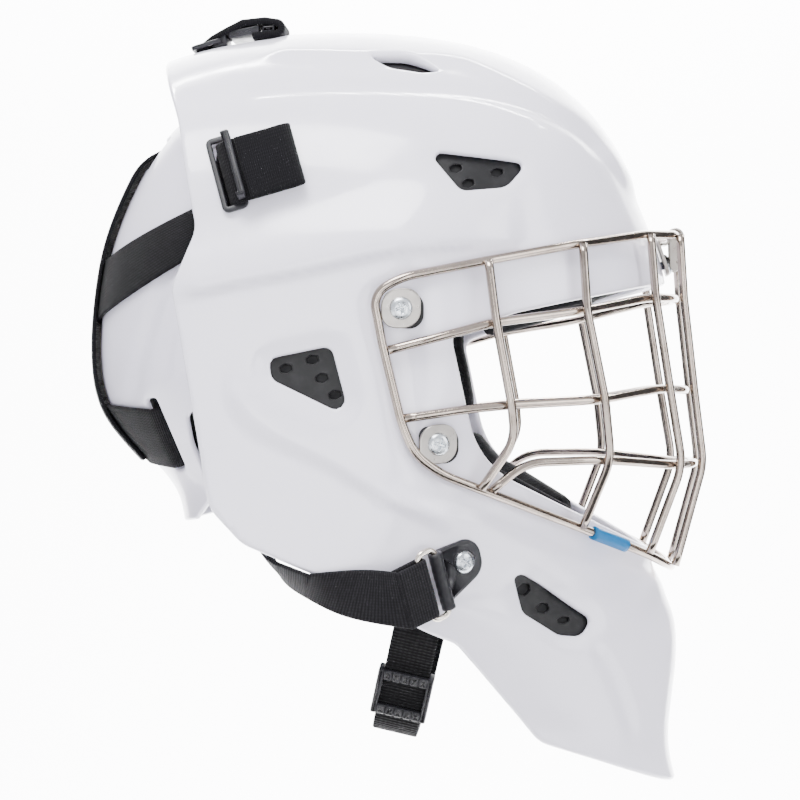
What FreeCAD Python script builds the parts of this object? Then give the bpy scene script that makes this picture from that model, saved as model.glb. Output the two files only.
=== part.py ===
"""Ice hockey goalie mask: a moulded shell with a wire cage, a padded lining, and a backplate held by
an elastic harness. Units are millimetres. +X is the way the wearer faces, +Z is up, and the origin is
at the middle of the head cavity, at eye level. The right side of the mask is at -Y."""

import FreeCAD
import Part
import math
import os
from FreeCAD import Placement, Rotation, Vector

doc = FreeCAD.newDocument("goalie_mask")

# ---------------------------------------------------------------- driving dimensions
SIZES = [
    ("wall", 3.5, "shell wall"),
    ("lining_gap", 0.4, "gap between the shell and what lines it"),
    ("grille_wall", 2.0, "vent grille"),
    ("pad_depth", 11.0, "foam pads"),
    ("plate_wall", 2.6, "backplate wall"),
    ("plate_foam", 9.0, "backplate foam"),
    ("wire_radius", 1.9, "cage wire"),
    ("weld_bite", 0.2, "how far two welded wires share metal"),
    ("head_radius", 4.8, "screw head"),
    ("head_height", 2.3, "screw head"),
    ("shank_radius", 2.0, "screw shank"),
    ("shank_length", 15.0, "screw shank"),
    ("drive_width", 1.1, "cross recess arm"),
    ("drive_span", 5.0, "cross recess span"),
    ("drive_depth", 1.3, "cross recess depth"),
    ("hole_play", 0.25, "gap round a screw in its hole"),
    ("nut_flange", 7.0, "tee nut flange radius"),
    ("nut_barrel", 3.3, "tee nut barrel radius"),
    ("nut_plate", 1.4, "tee nut flange thickness"),
    ("gasket_depth", 2.4, "rubber pad under the cage tab"),
    ("tab_depth", 1.6, "steel cage tab"),
    ("webbing", 1.8, "elastic strap thickness"),
    ("elastic_width", 24.0, "harness elastic"),
    ("chin_width", 18.0, "chin strap webbing"),
    ("chin_webbing", 1.6, "chin strap thickness"),
    ("ring_wire", 1.3, "strap ring wire radius"),
    ("ring_span", 30.0, "strap ring, along the strap's width"),
    ("ring_reach", 8.6, "strap ring, along the strap"),
    ("barrel_radius", 3.0, "hinge barrel of the jaw anchor"),
    ("anchor_depth", 3.0, "jaw anchor plate"),
    ("frame_depth", 2.0, "strap buckle frame"),
    ("frame_bar", 2.4, "strap buckle frame bar"),
    ("slider_depth", 6.4, "chin strap slider"),
    ("slider_bar", 2.6, "chin strap slider walls"),
    ("slider_height", 22.0, "chin strap slider"),
]

sheet = doc.addObject("Spreadsheet::Sheet", "sizes")
for row, (alias, value, note) in enumerate(SIZES, start=1):
    sheet.set(f"A{row}", note)
    sheet.set(f"B{row}", str(value))
    sheet.setAlias(f"B{row}", alias)
doc.recompute()


def size(alias):
    """The value of a driving dimension, read back from the sheet."""
    return float(getattr(sheet, alias))


# ---------------------------------------------------------------- small mathematics
def smooth(value):
    """0 below 0, 1 above 1, and an S between."""
    value = min(1.0, max(0.0, value))
    return value * value * (3 - 2 * value)


def natural_spline(knots, values):
    """The natural cubic spline through (knots, values), as a function."""
    count = len(knots)
    gap = [knots[i + 1] - knots[i] for i in range(count - 1)]
    rise = [(values[i + 1] - values[i]) / gap[i] for i in range(count - 1)]
    upper, right, second = [0.0] * count, [0.0] * count, [0.0] * count
    for i in range(1, count - 1):
        pivot = 2 * (gap[i - 1] + gap[i]) - gap[i - 1] * upper[i - 1]
        upper[i] = gap[i] / pivot
        right[i] = (6 * (rise[i] - rise[i - 1]) - gap[i - 1] * right[i - 1]) / pivot
    for i in range(count - 2, 0, -1):
        second[i] = right[i] - upper[i] * second[i + 1]

    def value(at):
        i = 0
        while i < count - 2 and at > knots[i + 1]:
            i += 1
        a, b = knots[i + 1] - at, at - knots[i]
        bend = second[i] * (a**3 / gap[i] - gap[i] * a) + second[i + 1] * (b**3 / gap[i] - gap[i] * b)
        return bend / 6 + values[i] * a / gap[i] + values[i + 1] * b / gap[i]

    return value


def rounded(corners):
    """Edges of the closed outline through corners (u, v, radius), each rounded by its own radius, as
    ("line", a, b) and ("arc", a, middle, b) with points as (u, v)."""
    pieces, joins = [], []
    count = len(corners)
    for i, (u, v, radius) in enumerate(corners):
        before, after = corners[i - 1], corners[(i + 1) % count]
        into = Vector(before[0] - u, before[1] - v, 0).normalize()
        out = Vector(after[0] - u, after[1] - v, 0).normalize()
        corner = Vector(u, v, 0)
        half = into.getAngle(out) / 2
        if radius == 0:
            joins.append((corner, None, corner))
            continue
        reach = radius / math.tan(half)
        centre = corner + (into + out).normalize() * (radius / math.sin(half))
        middle = centre + (corner - centre).normalize() * radius
        joins.append((corner + into * reach, middle, corner + out * reach))
    for i, (start, middle, end) in enumerate(joins):
        if middle is not None:
            pieces.append(("arc", start, middle, end))
        pieces.append(("line", end, joins[(i + 1) % count][0]))
    return [p for p in pieces if p[0] == "arc" or (p[1] - p[2]).Length > 1e-6]


def outline_face(corners, placed):
    """The rounded outline as a face; placed turns (u, v) into a point in space."""
    edges = []
    for piece in rounded(corners):
        points = [placed(p.x, p.y) for p in piece[1:]]
        if piece[0] == "arc":
            edges.append(Part.Arc(*points).toShape())
        else:
            edges.append(Part.LineSegment(*points).toShape())
    return Part.Face(Part.Wire(edges))


REACH = 160.0  # half the width of every cutting prism


def side_prism(corners, low=-REACH, high=REACH):
    """The outline (x, z, radius), drawn in the side view, from y = low to y = high."""
    face = outline_face(corners, lambda u, v: Vector(u, low, v))
    return face.extrude(Vector(0, high - low, 0))


def plan_prism(corners, low, high):
    """The outline (x, y, radius), drawn in the plan view, from z = low to z = high."""
    face = outline_face(corners, lambda u, v: Vector(u, v, low))
    return face.extrude(Vector(0, 0, high - low))


# ---------------------------------------------------------------- rods and straps along a path
def turned(points, radii):
    """A wire of straight runs through 3-D points, with tangent arcs of the given radii at the inner ones."""
    edges, start = [], points[0]
    for before, here, after, radius in zip(points, points[1:], points[2:], radii):
        into, out = (before - here).normalize(), (after - here).normalize()
        half = into.getAngle(out) / 2
        if half > math.radians(89.7):
            continue
        reach = radius / math.tan(half)
        centre = here + (into + out).normalize() * (radius / math.sin(half))
        first, last = here + into * reach, here + out * reach
        middle = centre + (here - centre).normalize() * radius
        if (first - start).Length > 1e-6:
            edges.append(Part.LineSegment(start, first).toShape())
        edges.append(Part.Arc(first, middle, last).toShape())
        start = last
    edges.append(Part.LineSegment(start, points[-1]).toShape())
    return Part.Wire(edges)


def bend_radii(points, most):
    """Radii as large as the runs allow, up to most."""
    made = []
    for before, here, after in zip(points, points[1:], points[2:]):
        into, out = before - here, after - here
        half = into.getAngle(out) / 2
        made.append(min(most, 0.47 * min(into.Length, out.Length) * math.tan(half)))
    return made


def rod_along(points, radius, most=60.0):
    """A round rod along 3-D points, with bends as large as they can be up to most."""
    path = turned(points, bend_radii(points, most))
    start = path.Edges[0]
    way = start.tangentAt(start.FirstParameter)
    profile = Part.Wire(Part.makeCircle(radius, start.valueAt(start.FirstParameter), way))
    return path.makePipeShell([profile], True, True)


def strap_along(points, across, width, thickness, most=60.0):
    """Flat webbing along points that lie in a plane square to the direction across."""
    path = turned(points, bend_radii(points, most))
    start = path.Edges[0]
    way = start.tangentAt(start.FirstParameter)
    at = start.valueAt(start.FirstParameter)
    side, rise = across * (width / 2), way.cross(across).normalize() * (thickness / 2)
    corners = [at + side + rise, at - side + rise, at - side - rise, at + side - rise]
    return path.makePipeShell([Part.makePolygon(corners + [corners[0]])], True, True)


def between(rows, lift, thickness):
    """A solid that follows the surface through rows of points, from lift to lift + thickness above it."""
    low, high = [], []
    for i, row in enumerate(rows):
        before, after = rows[max(0, i - 1)], rows[min(len(rows) - 1, i + 1)]
        ways = [(after[j] - before[j]).cross(row[-1] - row[0]).normalize() for j in range(len(row))]
        low.append([p + way * lift for p, way in zip(row, ways)])
        high.append([p + way * (lift + thickness) for p, way in zip(row, ways)])
    faces = []
    for grid in (low, high):
        surface = Part.BSplineSurface()
        surface.interpolate(grid)
        faces.append(surface.toShape())
    return closed(faces)


def closed(faces):
    """The solid between two matching faces."""
    rims = []
    for a, b in zip(faces[0].OuterWire.OrderedEdges, faces[1].OuterWire.OrderedEdges):
        rims.append(Part.makeRuledSurface(a, b))
    shell = Part.makeShell(faces + rims)
    shell.sewShape()
    solid = Part.Solid(Part.Shell(shell.Faces))
    if solid.Volume < 0:
        solid.reverse()
    return solid


# ---------------------------------------------------------------- the moulded surfaces
def inside_distance(corners, x, z):
    """How far the point is inside the closed polygon of corners (x, z, ...); negative outside."""
    nearest, inside = 1e9, False
    for i, corner in enumerate(corners):
        ax, az = corners[i - 1][:2]
        bx, bz = corner[:2]
        dx, dz = bx - ax, bz - az
        along = max(0.0, min(1.0, ((x - ax) * dx + (z - az) * dz) / (dx * dx + dz * dz)))
        nearest = min(nearest, math.hypot(x - ax - along * dx, z - az - along * dz))
        if (az > z) != (bz > z) and x < ax + (z - az) * dx / dz:
            inside = not inside
    return nearest if inside else -nearest


class Moulding:
    """A surface like a helmet's. Its middle line lies in the plane y = 0. From each point of that line
    a hoop runs to both sides: a quarter of an ellipse, and then nearly flat towards a fixed centre."""

    def __init__(self, centre, middle_line, depth_at, width_at, hub):
        self.centre, self.width_at, self.depth_at, self.hub = centre, width_at, depth_at, hub
        knots = [0.0]
        for a, b in zip(middle_line, middle_line[1:]):
            knots.append(knots[-1] + math.hypot(b[0] - a[0], b[1] - a[1]))
        self.length = knots[-1]
        self.line_x = natural_spline(knots, [p[0] for p in middle_line])
        self.line_z = natural_spline(knots, [p[1] for p in middle_line])

    def hoop(self, along):
        """At a distance along the middle line: reach from the centre, its direction, the cosine between
        that direction and the line's normal, and the depth of the elliptical part."""
        x, z = self.line_x(along), self.line_z(along)
        step = 0.5
        tx = self.line_x(along + step) - self.line_x(along - step)
        tz = self.line_z(along + step) - self.line_z(along - step)
        dx, dz = x - self.centre[0], z - self.centre[1]
        reach = math.hypot(dx, dz)
        slant = abs(dx * tz - dz * tx) / (reach * math.hypot(tx, tz))
        return reach, dx / reach, dz / reach, slant, self.depth_at(x, z)

    def half_width(self, x, z):
        """Half the width of the outer surface at a point of the side view."""
        dx, dz = x - self.centre[0], z - self.centre[1]
        low, high = 0.0, self.length
        for _ in range(40):
            middle = (low + high) / 2
            _, ux, uz, _, _ = self.hoop(middle)
            turn = ux * dz - uz * dx
            low, high = (low, middle) if turn * self.sense() > 0 else (middle, high)
        reach, _, _, slant, depth = self.hoop((low + high) / 2)
        inward = (reach - math.hypot(dx, dz)) * slant
        share = max(0.0, 1 - inward / depth)
        return self.width_at(x, z) * math.sqrt(max(0.0, 1 - share * share))

    def sense(self):
        """1 if the middle line runs anticlockwise round the centre in the side view, else -1."""
        _, ax, az, _, _ = self.hoop(self.length * 0.45)
        _, bx, bz, _, _ = self.hoop(self.length * 0.55)
        return -1 if ax * bz - az * bx > 0 else 1

    def point(self, along, across):
        """A point of the outer surface; across runs from -1 at the right end to 1 at the left."""
        reach, ux, uz, slant, depth = self.hoop(along)
        round_part = depth / slant
        flat_part = max(0.0, reach - round_part - self.hub)
        turns = 1 + flat_part / (round_part * math.pi / 2)
        s = abs(across) * turns
        if s < 1:
            inward, share = round_part * (1 - math.cos(s * math.pi / 2)), math.sin(s * math.pi / 2)
        else:
            inward, share = round_part * (1 + (s - 1) * math.pi / 2), 1.0
        radius = reach - inward
        x, z = self.centre[0] + ux * radius, self.centre[1] + uz * radius
        y = self.width_at(x, z) * share
        return Vector(x, math.copysign(y, across), z)

    def lifted(self, along, across, lift):
        """The point moved outwards by lift, square to the surface."""
        step_a, step_c = 0.4, 0.004
        here = self.point(along, across)
        a = self.point(along + step_a, across) - self.point(along - step_a, across)
        c = self.point(along, across + step_c) - self.point(along, across - step_c)
        normal = a.cross(c).normalize()
        if normal.dot(here - Vector(self.centre[0], 0, self.centre[1])) < 0:
            normal = normal * -1
        return here + normal * lift

    def at_height(self, across, z, lift):
        """The lifted point of one hoop position whose height is z, on a surface that runs downwards."""
        low, high = 0.0, self.length
        for _ in range(30):
            middle = (low + high) / 2
            low, high = (middle, high) if self.point(middle, across).z > z else (low, middle)
        return self.lifted(low, across, lift)

    def sheet(self, offset, rows, columns):
        """The surface moved inwards by offset, as a spline face through rows by columns points."""
        grid = []
        for i in range(rows):
            along = self.length * i / (rows - 1)
            line = []
            for j in range(columns):
                across = 2 * j / (columns - 1) - 1
                line.append(self.lifted(along, across, -offset))
            grid.append(line)
        surface = Part.BSplineSurface()
        surface.interpolate(grid)
        return surface.toShape()

    def wall(self, outer, inner, rows=34, columns=57):
        """The solid between two offsets of the surface."""
        return closed([self.sheet(outer, rows, columns), self.sheet(inner, rows, columns)])

    def normal(self, x, z):
        """The outward normal of the right side at a point of the side view."""
        step = 0.5
        slope_x = (self.half_width(x + step, z) - self.half_width(x - step, z)) / (2 * step)
        slope_z = (self.half_width(x, z + step) - self.half_width(x, z - step)) / (2 * step)
        return Vector(-slope_x, -1, -slope_z).normalize()

    def over(self, x, z, lift):
        """The point that stands off the right side by lift and is seen at x, z from the side."""
        foot = Vector(x, 0, z)
        for _ in range(8):
            normal = self.normal(foot.x, foot.z)
            foot = Vector(x - normal.x * lift, 0, z - normal.z * lift)
        y = -self.half_width(foot.x, foot.z) + normal.y * lift
        return Vector(x, y, z)

    def site(self, x, z, lift=0.0, towards=(1.0, 0.0)):
        """A placement on the right side of the surface: local Z is outwards, and local X is towards the
        given side-view direction, in the surface."""
        normal = self.normal(x, z)
        ahead = Vector(towards[0], 0, towards[1])
        ahead = (ahead - normal * ahead.dot(normal)).normalize()
        at = Vector(x, -self.half_width(x, z), z) + normal * lift
        return Placement(at, Rotation(ahead, normal.cross(ahead), normal, "ZXY"))


# the shell: middle line from behind the crown, over the forehead and across the face opening, to below the chin
SHELL_LINE = [
    (-126, 144), (-105, 153), (-72, 161.5), (-30, 165), (5, 163.5), (40, 156.5), (73, 140), (95, 115),
    (110, 83), (119.5, 55), (120, 20), (117, -20), (113.5, -55), (115, -77), (123, -95), (125, -112),
    (122.8, -135), (121.8, -157), (126, -176), (131, -200),
]
SHELL_CENTRE = (-100, -75)
TOWARDS_CHIN = (0.8, -0.6)
CHIN_KNOTS = [-150, -60, 0, 20, 40, 65, 85, 110, 140, 200]
SHELL_WIDTHS = natural_spline(CHIN_KNOTS, [104, 106, 106.5, 106, 104, 97, 87, 75, 63, 50])
SHELL_DEPTHS = natural_spline([-170, -98, 16, 66, 100, 136, 177, 201, 230], [94, 99, 111, 115, 112, 101, 80, 72, 66])

# the shoulder is where the dome steps out to the wider cheek
SHOULDER_STEP, SHOULDER_RISE = 7.0, 30.0

# the cage lies in a shallow seat round the face opening
SEAT = [
    (170, 89), (42, 62), (2, 54.5), (-8, 49), (-11.5, 41), (-8, 20), (0, -11), (7, -24), (17, -33),
    (40, -43.5), (80, -61), (113, -75), (170, -99),
]
SEAT_DEPTH, SEAT_SLOPE = 3.4, 9.0


def chinward(x, z):
    """How far a point of the side view lies towards the chin."""
    return x * TOWARDS_CHIN[0] + z * TOWARDS_CHIN[1]


def shoulder_height(x):
    """Height of the shoulder's edge."""
    return 63.2 + 0.2 * x


def shell_width(x, z):
    """Half the shell's width before the rounding towards the middle line."""
    step = SHOULDER_STEP * smooth((shoulder_height(x) + SHOULDER_RISE - z) / SHOULDER_RISE)
    width = SHELL_WIDTHS(chinward(x, z)) + step * (1 - smooth(x / 60.0))
    return width - SEAT_DEPTH * smooth(inside_distance(SEAT, x, z) / SEAT_SLOPE)


shell_form = Moulding(SHELL_CENTRE, SHELL_LINE, lambda x, z: SHELL_DEPTHS(chinward(x, z)), shell_width, 14.0)

# the backplate: middle line from the top of the back of the head down to the nape
PLATE_LINE = [
    (-55, 146), (-76, 139), (-98.5, 126), (-110.5, 112), (-121.2, 92.5), (-130, 69.5), (-134.4, 45), (-135.6, 18),
    (-130.8, -4), (-118, -20.5), (-109, -30.5), (-101, -41.5), (-97.8, -54), (-97.5, -76), (-97.5, -98), (-97.5, -125),
]
PLATE_CENTRE = (-12, 38)
PLATE_WIDTHS = natural_spline([-90, -40, 20, 80, 110, 150], [70, 80, 86, 86, 83, 70])

plate_form = Moulding(PLATE_CENTRE, PLATE_LINE, lambda x, z: 84.0, lambda x, z: PLATE_WIDTHS(z), 20.0)

# ---------------------------------------------------------------- outlines in the side view: (x, z, radius)
SHELL_OUTLINE = [
    (-107, 200, 0), (-107, 158, 0), (-91, 121, 60), (-80.2, 72, 14), (-89.6, 47, 7), (-73.6, -45, 15),
    (-60, -59.5, 16), (-21, -76, 80), (17, -97.5, 30), (29, -103, 10), (63.5, -147.5, 14), (90, -157.3, 60),
    (128, -172.3, 0), (170, -188, 0), (170, 200, 0),
]
EYE_PORT = [(170, 63, 0), (55, 37.2, 30), (27.0, 28.0, 5), (38.8, -26.6, 38), (170, -95.6, 0)]
BROW_VENT = [(16.5, 105.6, 2.5), (59, 101.2, 2.5), (50, 90.2, 8), (31, 88.2, 5)]
CHEEK_VENT = [(-49, 17.6, 3.5), (-23, 22.8, 4), (-15.2, -6.8, 4), (-47.8, 9, 5)]
CHIN_VENT = [(52, -71, 2.5), (86.6, -94.4, 4), (82.5, -102.3, 5), (72.5, -101, 6), (57.5, -90.5, 6)]
VENTS = {"brow_vent": BROW_VENT, "cheek_vent": CHEEK_VENT, "chin_vent": CHIN_VENT}
VENT_HOLES = {
    "brow_vent": [(29, 99.5), (47, 98), (34.5, 93)],
    "cheek_vent": [(-42, 13.5), (-31, 17.2), (-27, 9.5), (-21.5, 2.5)],
    "chin_vent": [(59, -81), (67, -88), (76, -94)],
}
CROWN_VENT = [(-11, 57.5, 1), (5, 54.5, 12), (21, 60, 1), (13, 64, 6), (0, 63.5, 6)]  # plan view
HOLE_ACROSS, HOLE_TILT = 5.4, 0.5  # six-sided grille holes
GRILLE_LAP = 4.0  # how far a grille reaches behind the shell
CROWN_SLOTS, CROWN_SLOT_Y = (-1, 6, 13), 59.5  # x of the three slots of a crown grille, and their |y|
CROWN_SLOT_HALF = (3.0, 2.0)

SIDE_SLOT, SLOT_TILT = (-68.5, 94.5), (0.29, -0.957)  # strap slot in the shell's side, and the way it runs
SLOT_HALF, SLOT_GAP = 14.6, 2.6  # half its length, and half its width
TOP_SLOT = (-91.0, 14.0)  # strap slot in the crown: its x, and half its length

CAGE_SCREWS = [(6.1, 38.3), (20.3, -17.5)]
JAW_SCREW = (30.2, -66.8)
CHIN_RIVET = (14.0, -86.0)
CHIN_INSET = 12.2  # from the shell's outer surface to the middle of the chin strap's webbing
RIVET_SKIN = 1.2  # what the blind rivet holes leave of the shell
SCREW_HOLE = size("shank_radius") + size("hole_play")


def grown(corners, by):
    """The convex outline's corners moved outwards by about that much."""
    middle_u = sum(c[0] for c in corners) / len(corners)
    middle_v = sum(c[1] for c in corners) / len(corners)
    made = []
    for u, v, radius in corners:
        far = math.hypot(u - middle_u, v - middle_v)
        share = 1 + by * 1.3 / far
        made.append((middle_u + (u - middle_u) * share, middle_v + (v - middle_v) * share, radius))
    return made


def mirrored(shape):
    """The same shape on the left side."""
    return shape.mirror(Vector(0, 0, 0), Vector(0, 1, 0))


def slot_corners(centre, way, half_length, half_width):
    """A straight slot with nearly round ends in the side view."""
    wx, wz = way
    made = []
    for along, across in ((1, 1), (-1, 1), (-1, -1), (1, -1)):
        u = centre[0] + wx * half_length * along - wz * half_width * across
        v = centre[1] + wz * half_length * along + wx * half_width * across
        made.append((u, v, half_width * 0.95))
    return made


def hexagon(u, v):
    """A flattened six-sided hole."""
    made = []
    for k in range(6):
        angle = math.radians(60 * k)
        across, up = HOLE_ACROSS / 2 * math.cos(angle), HOLE_ACROSS / 2.7 * math.sin(angle)
        made.append((u + across + up * HOLE_TILT, v + up - across * 0.15, 0.4))
    return made


# ---------------------------------------------------------------- making sub-parts
finished = []  # the objects that are written out, in order


def feature(name, shape):
    """A sub-part whose shape no standard feature makes."""
    made = doc.addObject("Part::Feature", name)
    made.Label = name
    made.Shape = shape
    finished.append(made)
    return made


def axis_rod(placement, radius, low, high):
    """A rod along the placement's local Z."""
    rod = Part.makeCylinder(radius, high - low, Vector(0, 0, low), Vector(0, 0, 1))
    rod.Placement = placement
    return rod


# ---------------------------------------------------------------- shell, grilles and pads
def chin_pin():
    """The axis of the right chin strap rivet: from the strap's middle, outwards."""
    at = Vector(CHIN_RIVET[0], CHIN_INSET - shell_form.half_width(*CHIN_RIVET), CHIN_RIVET[1])
    return Placement(at, Rotation(Vector(1, 0, 0), Vector(), Vector(0, -1, 0), "ZXY"))


def make_shell():
    """The moulded outer shell, trimmed to its outline and pierced."""
    shell = shell_form.wall(0.0, size("wall"))
    shell = shell.common(side_prism(SHELL_OUTLINE))
    tools = [side_prism(EYE_PORT)]
    right = [side_prism(outline, -REACH, -20) for outline in VENTS.values()]
    right.append(side_prism(slot_corners(SIDE_SLOT, SLOT_TILT, SLOT_HALF, SLOT_GAP), -REACH, -40))
    right.append(plan_prism([(x, -y, r) for x, y, r in CROWN_VENT], 100, 200))
    for x, z in CAGE_SCREWS + [JAW_SCREW]:
        right.append(axis_rod(shell_form.site(x, z), SCREW_HOLE, -20, 20))
    right.append(axis_rod(chin_pin(), SCREW_HOLE, 0, CHIN_INSET - RIVET_SKIN + 0.1))
    tools += right + [mirrored(tool) for tool in right]
    tools.append(Part.makeBox(2 * SLOT_GAP, 2 * TOP_SLOT[1], 80, Vector(TOP_SLOT[0] - SLOT_GAP, -TOP_SLOT[1], 120)))
    tools.append(axis_rod(BROW_SCREW, SCREW_HOLE, -20, 20))
    feature("mask_shell", shell.cut(tools))


def make_grilles():
    """Thin perforated covers behind the vents."""
    inner = size("wall") + size("lining_gap")
    blank = shell_form.wall(inner, inner + size("grille_wall"))
    for name, outline in VENTS.items():
        grille = blank.common(side_prism(grown(outline, GRILLE_LAP), -REACH, -20))
        grille = grille.cut([side_prism(hexagon(*at), -REACH, -20) for at in VENT_HOLES[name]])
        feature(f"{name}_grille_right", grille)
        feature(f"{name}_grille_left", mirrored(grille))
    corners = [(x, -y, r) for x, y, r in grown(CROWN_VENT, GRILLE_LAP)]
    grille = blank.common(plan_prism(corners, 100, 200))
    for x in CROWN_SLOTS:
        low, high = -CROWN_SLOT_Y - CROWN_SLOT_HALF[1], -CROWN_SLOT_Y + CROWN_SLOT_HALF[1]
        near, far = x - CROWN_SLOT_HALF[0], x + CROWN_SLOT_HALF[0]
        corners = [(near, low, 0.5), (far, low, 0.5), (far, high, 0.5), (near, high, 0.5)]
        grille = grille.cut(plan_prism(corners, 100, 200))
    feature("crown_vent_grille_right", grille)
    feature("crown_vent_grille_left", mirrored(grille))


PAD_OUTLINES = {
    "forehead_pad": ([(40, 30.4, 4), (40, 84, 8), (170, 84, 0), (170, 70, 0), (97, 47.5, 6), (88, 41.6, 6)], False),
    "crown_pad": ([(-62, 122, 8), (36, 122, 8), (36, 190, 0), (-62, 190, 0)], False),
    "temple_pad": ([(-60, 54, 8), (-60, 116, 10), (37, 116, 10), (37, 54, 8)], True),
    "cheek_pad": ([(-66, 48, 8), (29, 48, 4), (29, 25, 4), (38.6, -14, 12), (-56, -12, 8)], True),
    "jaw_pad": ([(-50, -16, 8), (38.4, -17, 4), (49, -29, 14), (84, -48, 4), (84, -70, 8), (28, -76, 6), (-4, -70, 10),
                 (-40, -57, 10)], True),
}
CHIN_PAD = [(98, -62, 3), (98, -104, 6), (170, -104, 0), (170, -94, 0)]


def make_pads():
    """Foam pads inside the shell; they stand a little proud of the face opening's edge."""
    outer = size("wall") + 2 * size("lining_gap") + size("grille_wall")
    blank = shell_form.wall(outer, outer + size("pad_depth"))
    clear = [axis_rod(BROW_SCREW, 8.0, -30, 20)]
    for x, z in CAGE_SCREWS + [JAW_SCREW]:
        rod = axis_rod(shell_form.site(x, z), 8.0, -30, 10)
        clear += [rod, mirrored(rod)]
    for name, (outline, sided) in PAD_OUTLINES.items():
        if sided:
            pad = blank.common(side_prism(outline, -REACH, -20)).cut(clear)
            feature(f"{name}_right", pad)
            feature(f"{name}_left", mirrored(pad))
        else:
            feature(name, blank.common(side_prism(outline)).cut(clear))
    feature("chin_pad", blank.common(side_prism(CHIN_PAD)))


# ---------------------------------------------------------------- cage
# the rim, from its top middle round the right side to its bottom middle: points in front of the brow and the chin
# (x, y, z), and between them points of the side view (x, z) where it lies over the shell
RIM_TOP = [(124.9, 0, 73.8), (123.2, -21, 73.6), (109.4, -45, 72.4)]
RIM_SIDE = [
    (80, 66.6), (41.5, 58.4), (6, 51), (-5.4, 44), (-1.4, 23.3), (6.2, -8), (11.4, -21.5), (22, -30),
    (38.4, -36.8), (80, -54.4),
]
RIM_BOTTOM = [(109, -42, -66.5), (121, -21, -73.4), (122.8, 0, -75.2)]
# the four uprights on the right side: where each crosses the three crossbars, (x, y, z); their ends are on the rim
UPRIGHT_TOPS, UPRIGHT_FEET = [1, 2, 3, 4], [-2, -3, -4, -5]
UPRIGHTS = [
    [(127.5, -21, 45.4), (132.0, -21, 4.6), (136.0, -21, -27.9)],
    [(113.8, -49.5, 44.8), (119.9, -50, 5.4), (125.5, -46.5, -28.2)],
    [(83.5, -85, 38.1), (91.1, -84, 0.3), (93.6, -79, -25.1)],
    [(45.5, -109, 32.7), (51.8, -106.5, -1.7), (53.1, -102, -16.4)],
]
RIM_GAP = 1.2  # between the rim and the shell
UPRIGHT_OUT = 2.6  # how far the uprights' ends lie outside the rim
CROSSBAR_ENDS = [(-0.4, 20.6), (6.0, -7.4), (42.4, -38.5)]  # on the rim
CROSSBAR_LIPS = [(24.0, 27.0), (33.0, -3.4), (57.3, -26.0)]  # where each passes the edge of the face opening
LIP_LIFT = 4.6


def outward(x, y):
    """The way out of the cage at a place on it, in plan."""
    return Vector(x - 10, y, 0).normalize()


def rim_points():
    """The centre line of the rim's right half, from the top middle to the bottom middle."""
    lift = size("wire_radius") + RIM_GAP
    side = [shell_form.over(x, z, lift) for x, z in RIM_SIDE]
    return [Vector(*p) for p in RIM_TOP] + side + [Vector(*p) for p in RIM_BOTTOM]


def upright_points(index):
    """The centre line of one right-hand upright."""
    rim = rim_points()
    ends = [rim[UPRIGHT_TOPS[index]], rim[UPRIGHT_FEET[index]]]
    ends = [p + outward(p.x, p.y) * UPRIGHT_OUT for p in ends]
    return [ends[0]] + [Vector(*p) for p in UPRIGHTS[index]] + [ends[1]]


def crossbar_points(index):
    """The centre line of one crossbar, right to left, just inside the uprights."""
    inset = 2 * size("wire_radius") - size("weld_bite")
    end = shell_form.over(*CROSSBAR_ENDS[index], size("wire_radius") + RIM_GAP)
    lip = shell_form.over(*CROSSBAR_LIPS[index], LIP_LIFT)
    half = [end + (lip - end).normalize() * (size("wire_radius") - size("weld_bite")), lip]
    for k in range(3 if index < 2 else 2, -1, -1):
        at = upright_points(k)[index + 1]
        half.append(at - outward(at.x, at.y) * inset)
    return half + [Vector(p.x, -p.y, p.z) for p in reversed(half)]


def make_cage():
    """The welded wire cage, as its rim, its crossbars and its uprights."""
    radius = size("wire_radius")
    right = rim_points()
    loop = right + [Vector(p.x, -p.y, p.z) for p in reversed(right[1:-1])]
    start = (loop[0] + loop[1]) * 0.5
    points = [start] + loop[1:] + [loop[0], start]
    feature("cage_rim", rod_along(points, radius, 40.0))
    uprights = [rod_along(upright_points(k), radius, 30.0) for k in range(len(UPRIGHTS))]
    feature("cage_uprights", Part.makeCompound(uprights + [mirrored(rod) for rod in uprights]))
    feature("cage_crossbars", Part.makeCompound([rod_along(crossbar_points(k), radius, 60.0) for k in range(3)]))


CLIP = [(117.9, 70.3), (121.3, 70.4), (121.3, 76.8), (127.4, 76.8), (127.8, 64.0)]  # from above the bracket over the rim
BRACKET_CORNERS = [(-11, -5, 3), (11, -5, 3), (11, 13, 3), (-11, 13, 3)]
BRACKET_TOP = 2.2
BROW_SCREW = Placement(Vector(118.3, 0, 60.5), Rotation(Vector(0, 1, 0), Vector(), Vector(0.95, 0, 0.31), "ZXY"))


def plate_at(placement, corners, low, high):
    """A flat plate with a rounded outline in the placement's plane, from low to high above it."""
    face = outline_face(corners, lambda u, v: Vector(u, v, low))
    made = face.extrude(Vector(0, 0, high - low))
    made.Placement = placement
    return made


TAB_CORNERS = [(-8.2, -8.2, 6), (8.2, -8.2, 7.5), (8.2, 8.2, 6), (-8.2, 8.2, 7.5)]
GASKET_CORNERS = [(-7.4, -7.4, 4), (9.4, -9.0, 6), (9.4, 6.4, 6), (-7.4, 7.4, 4)]


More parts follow.
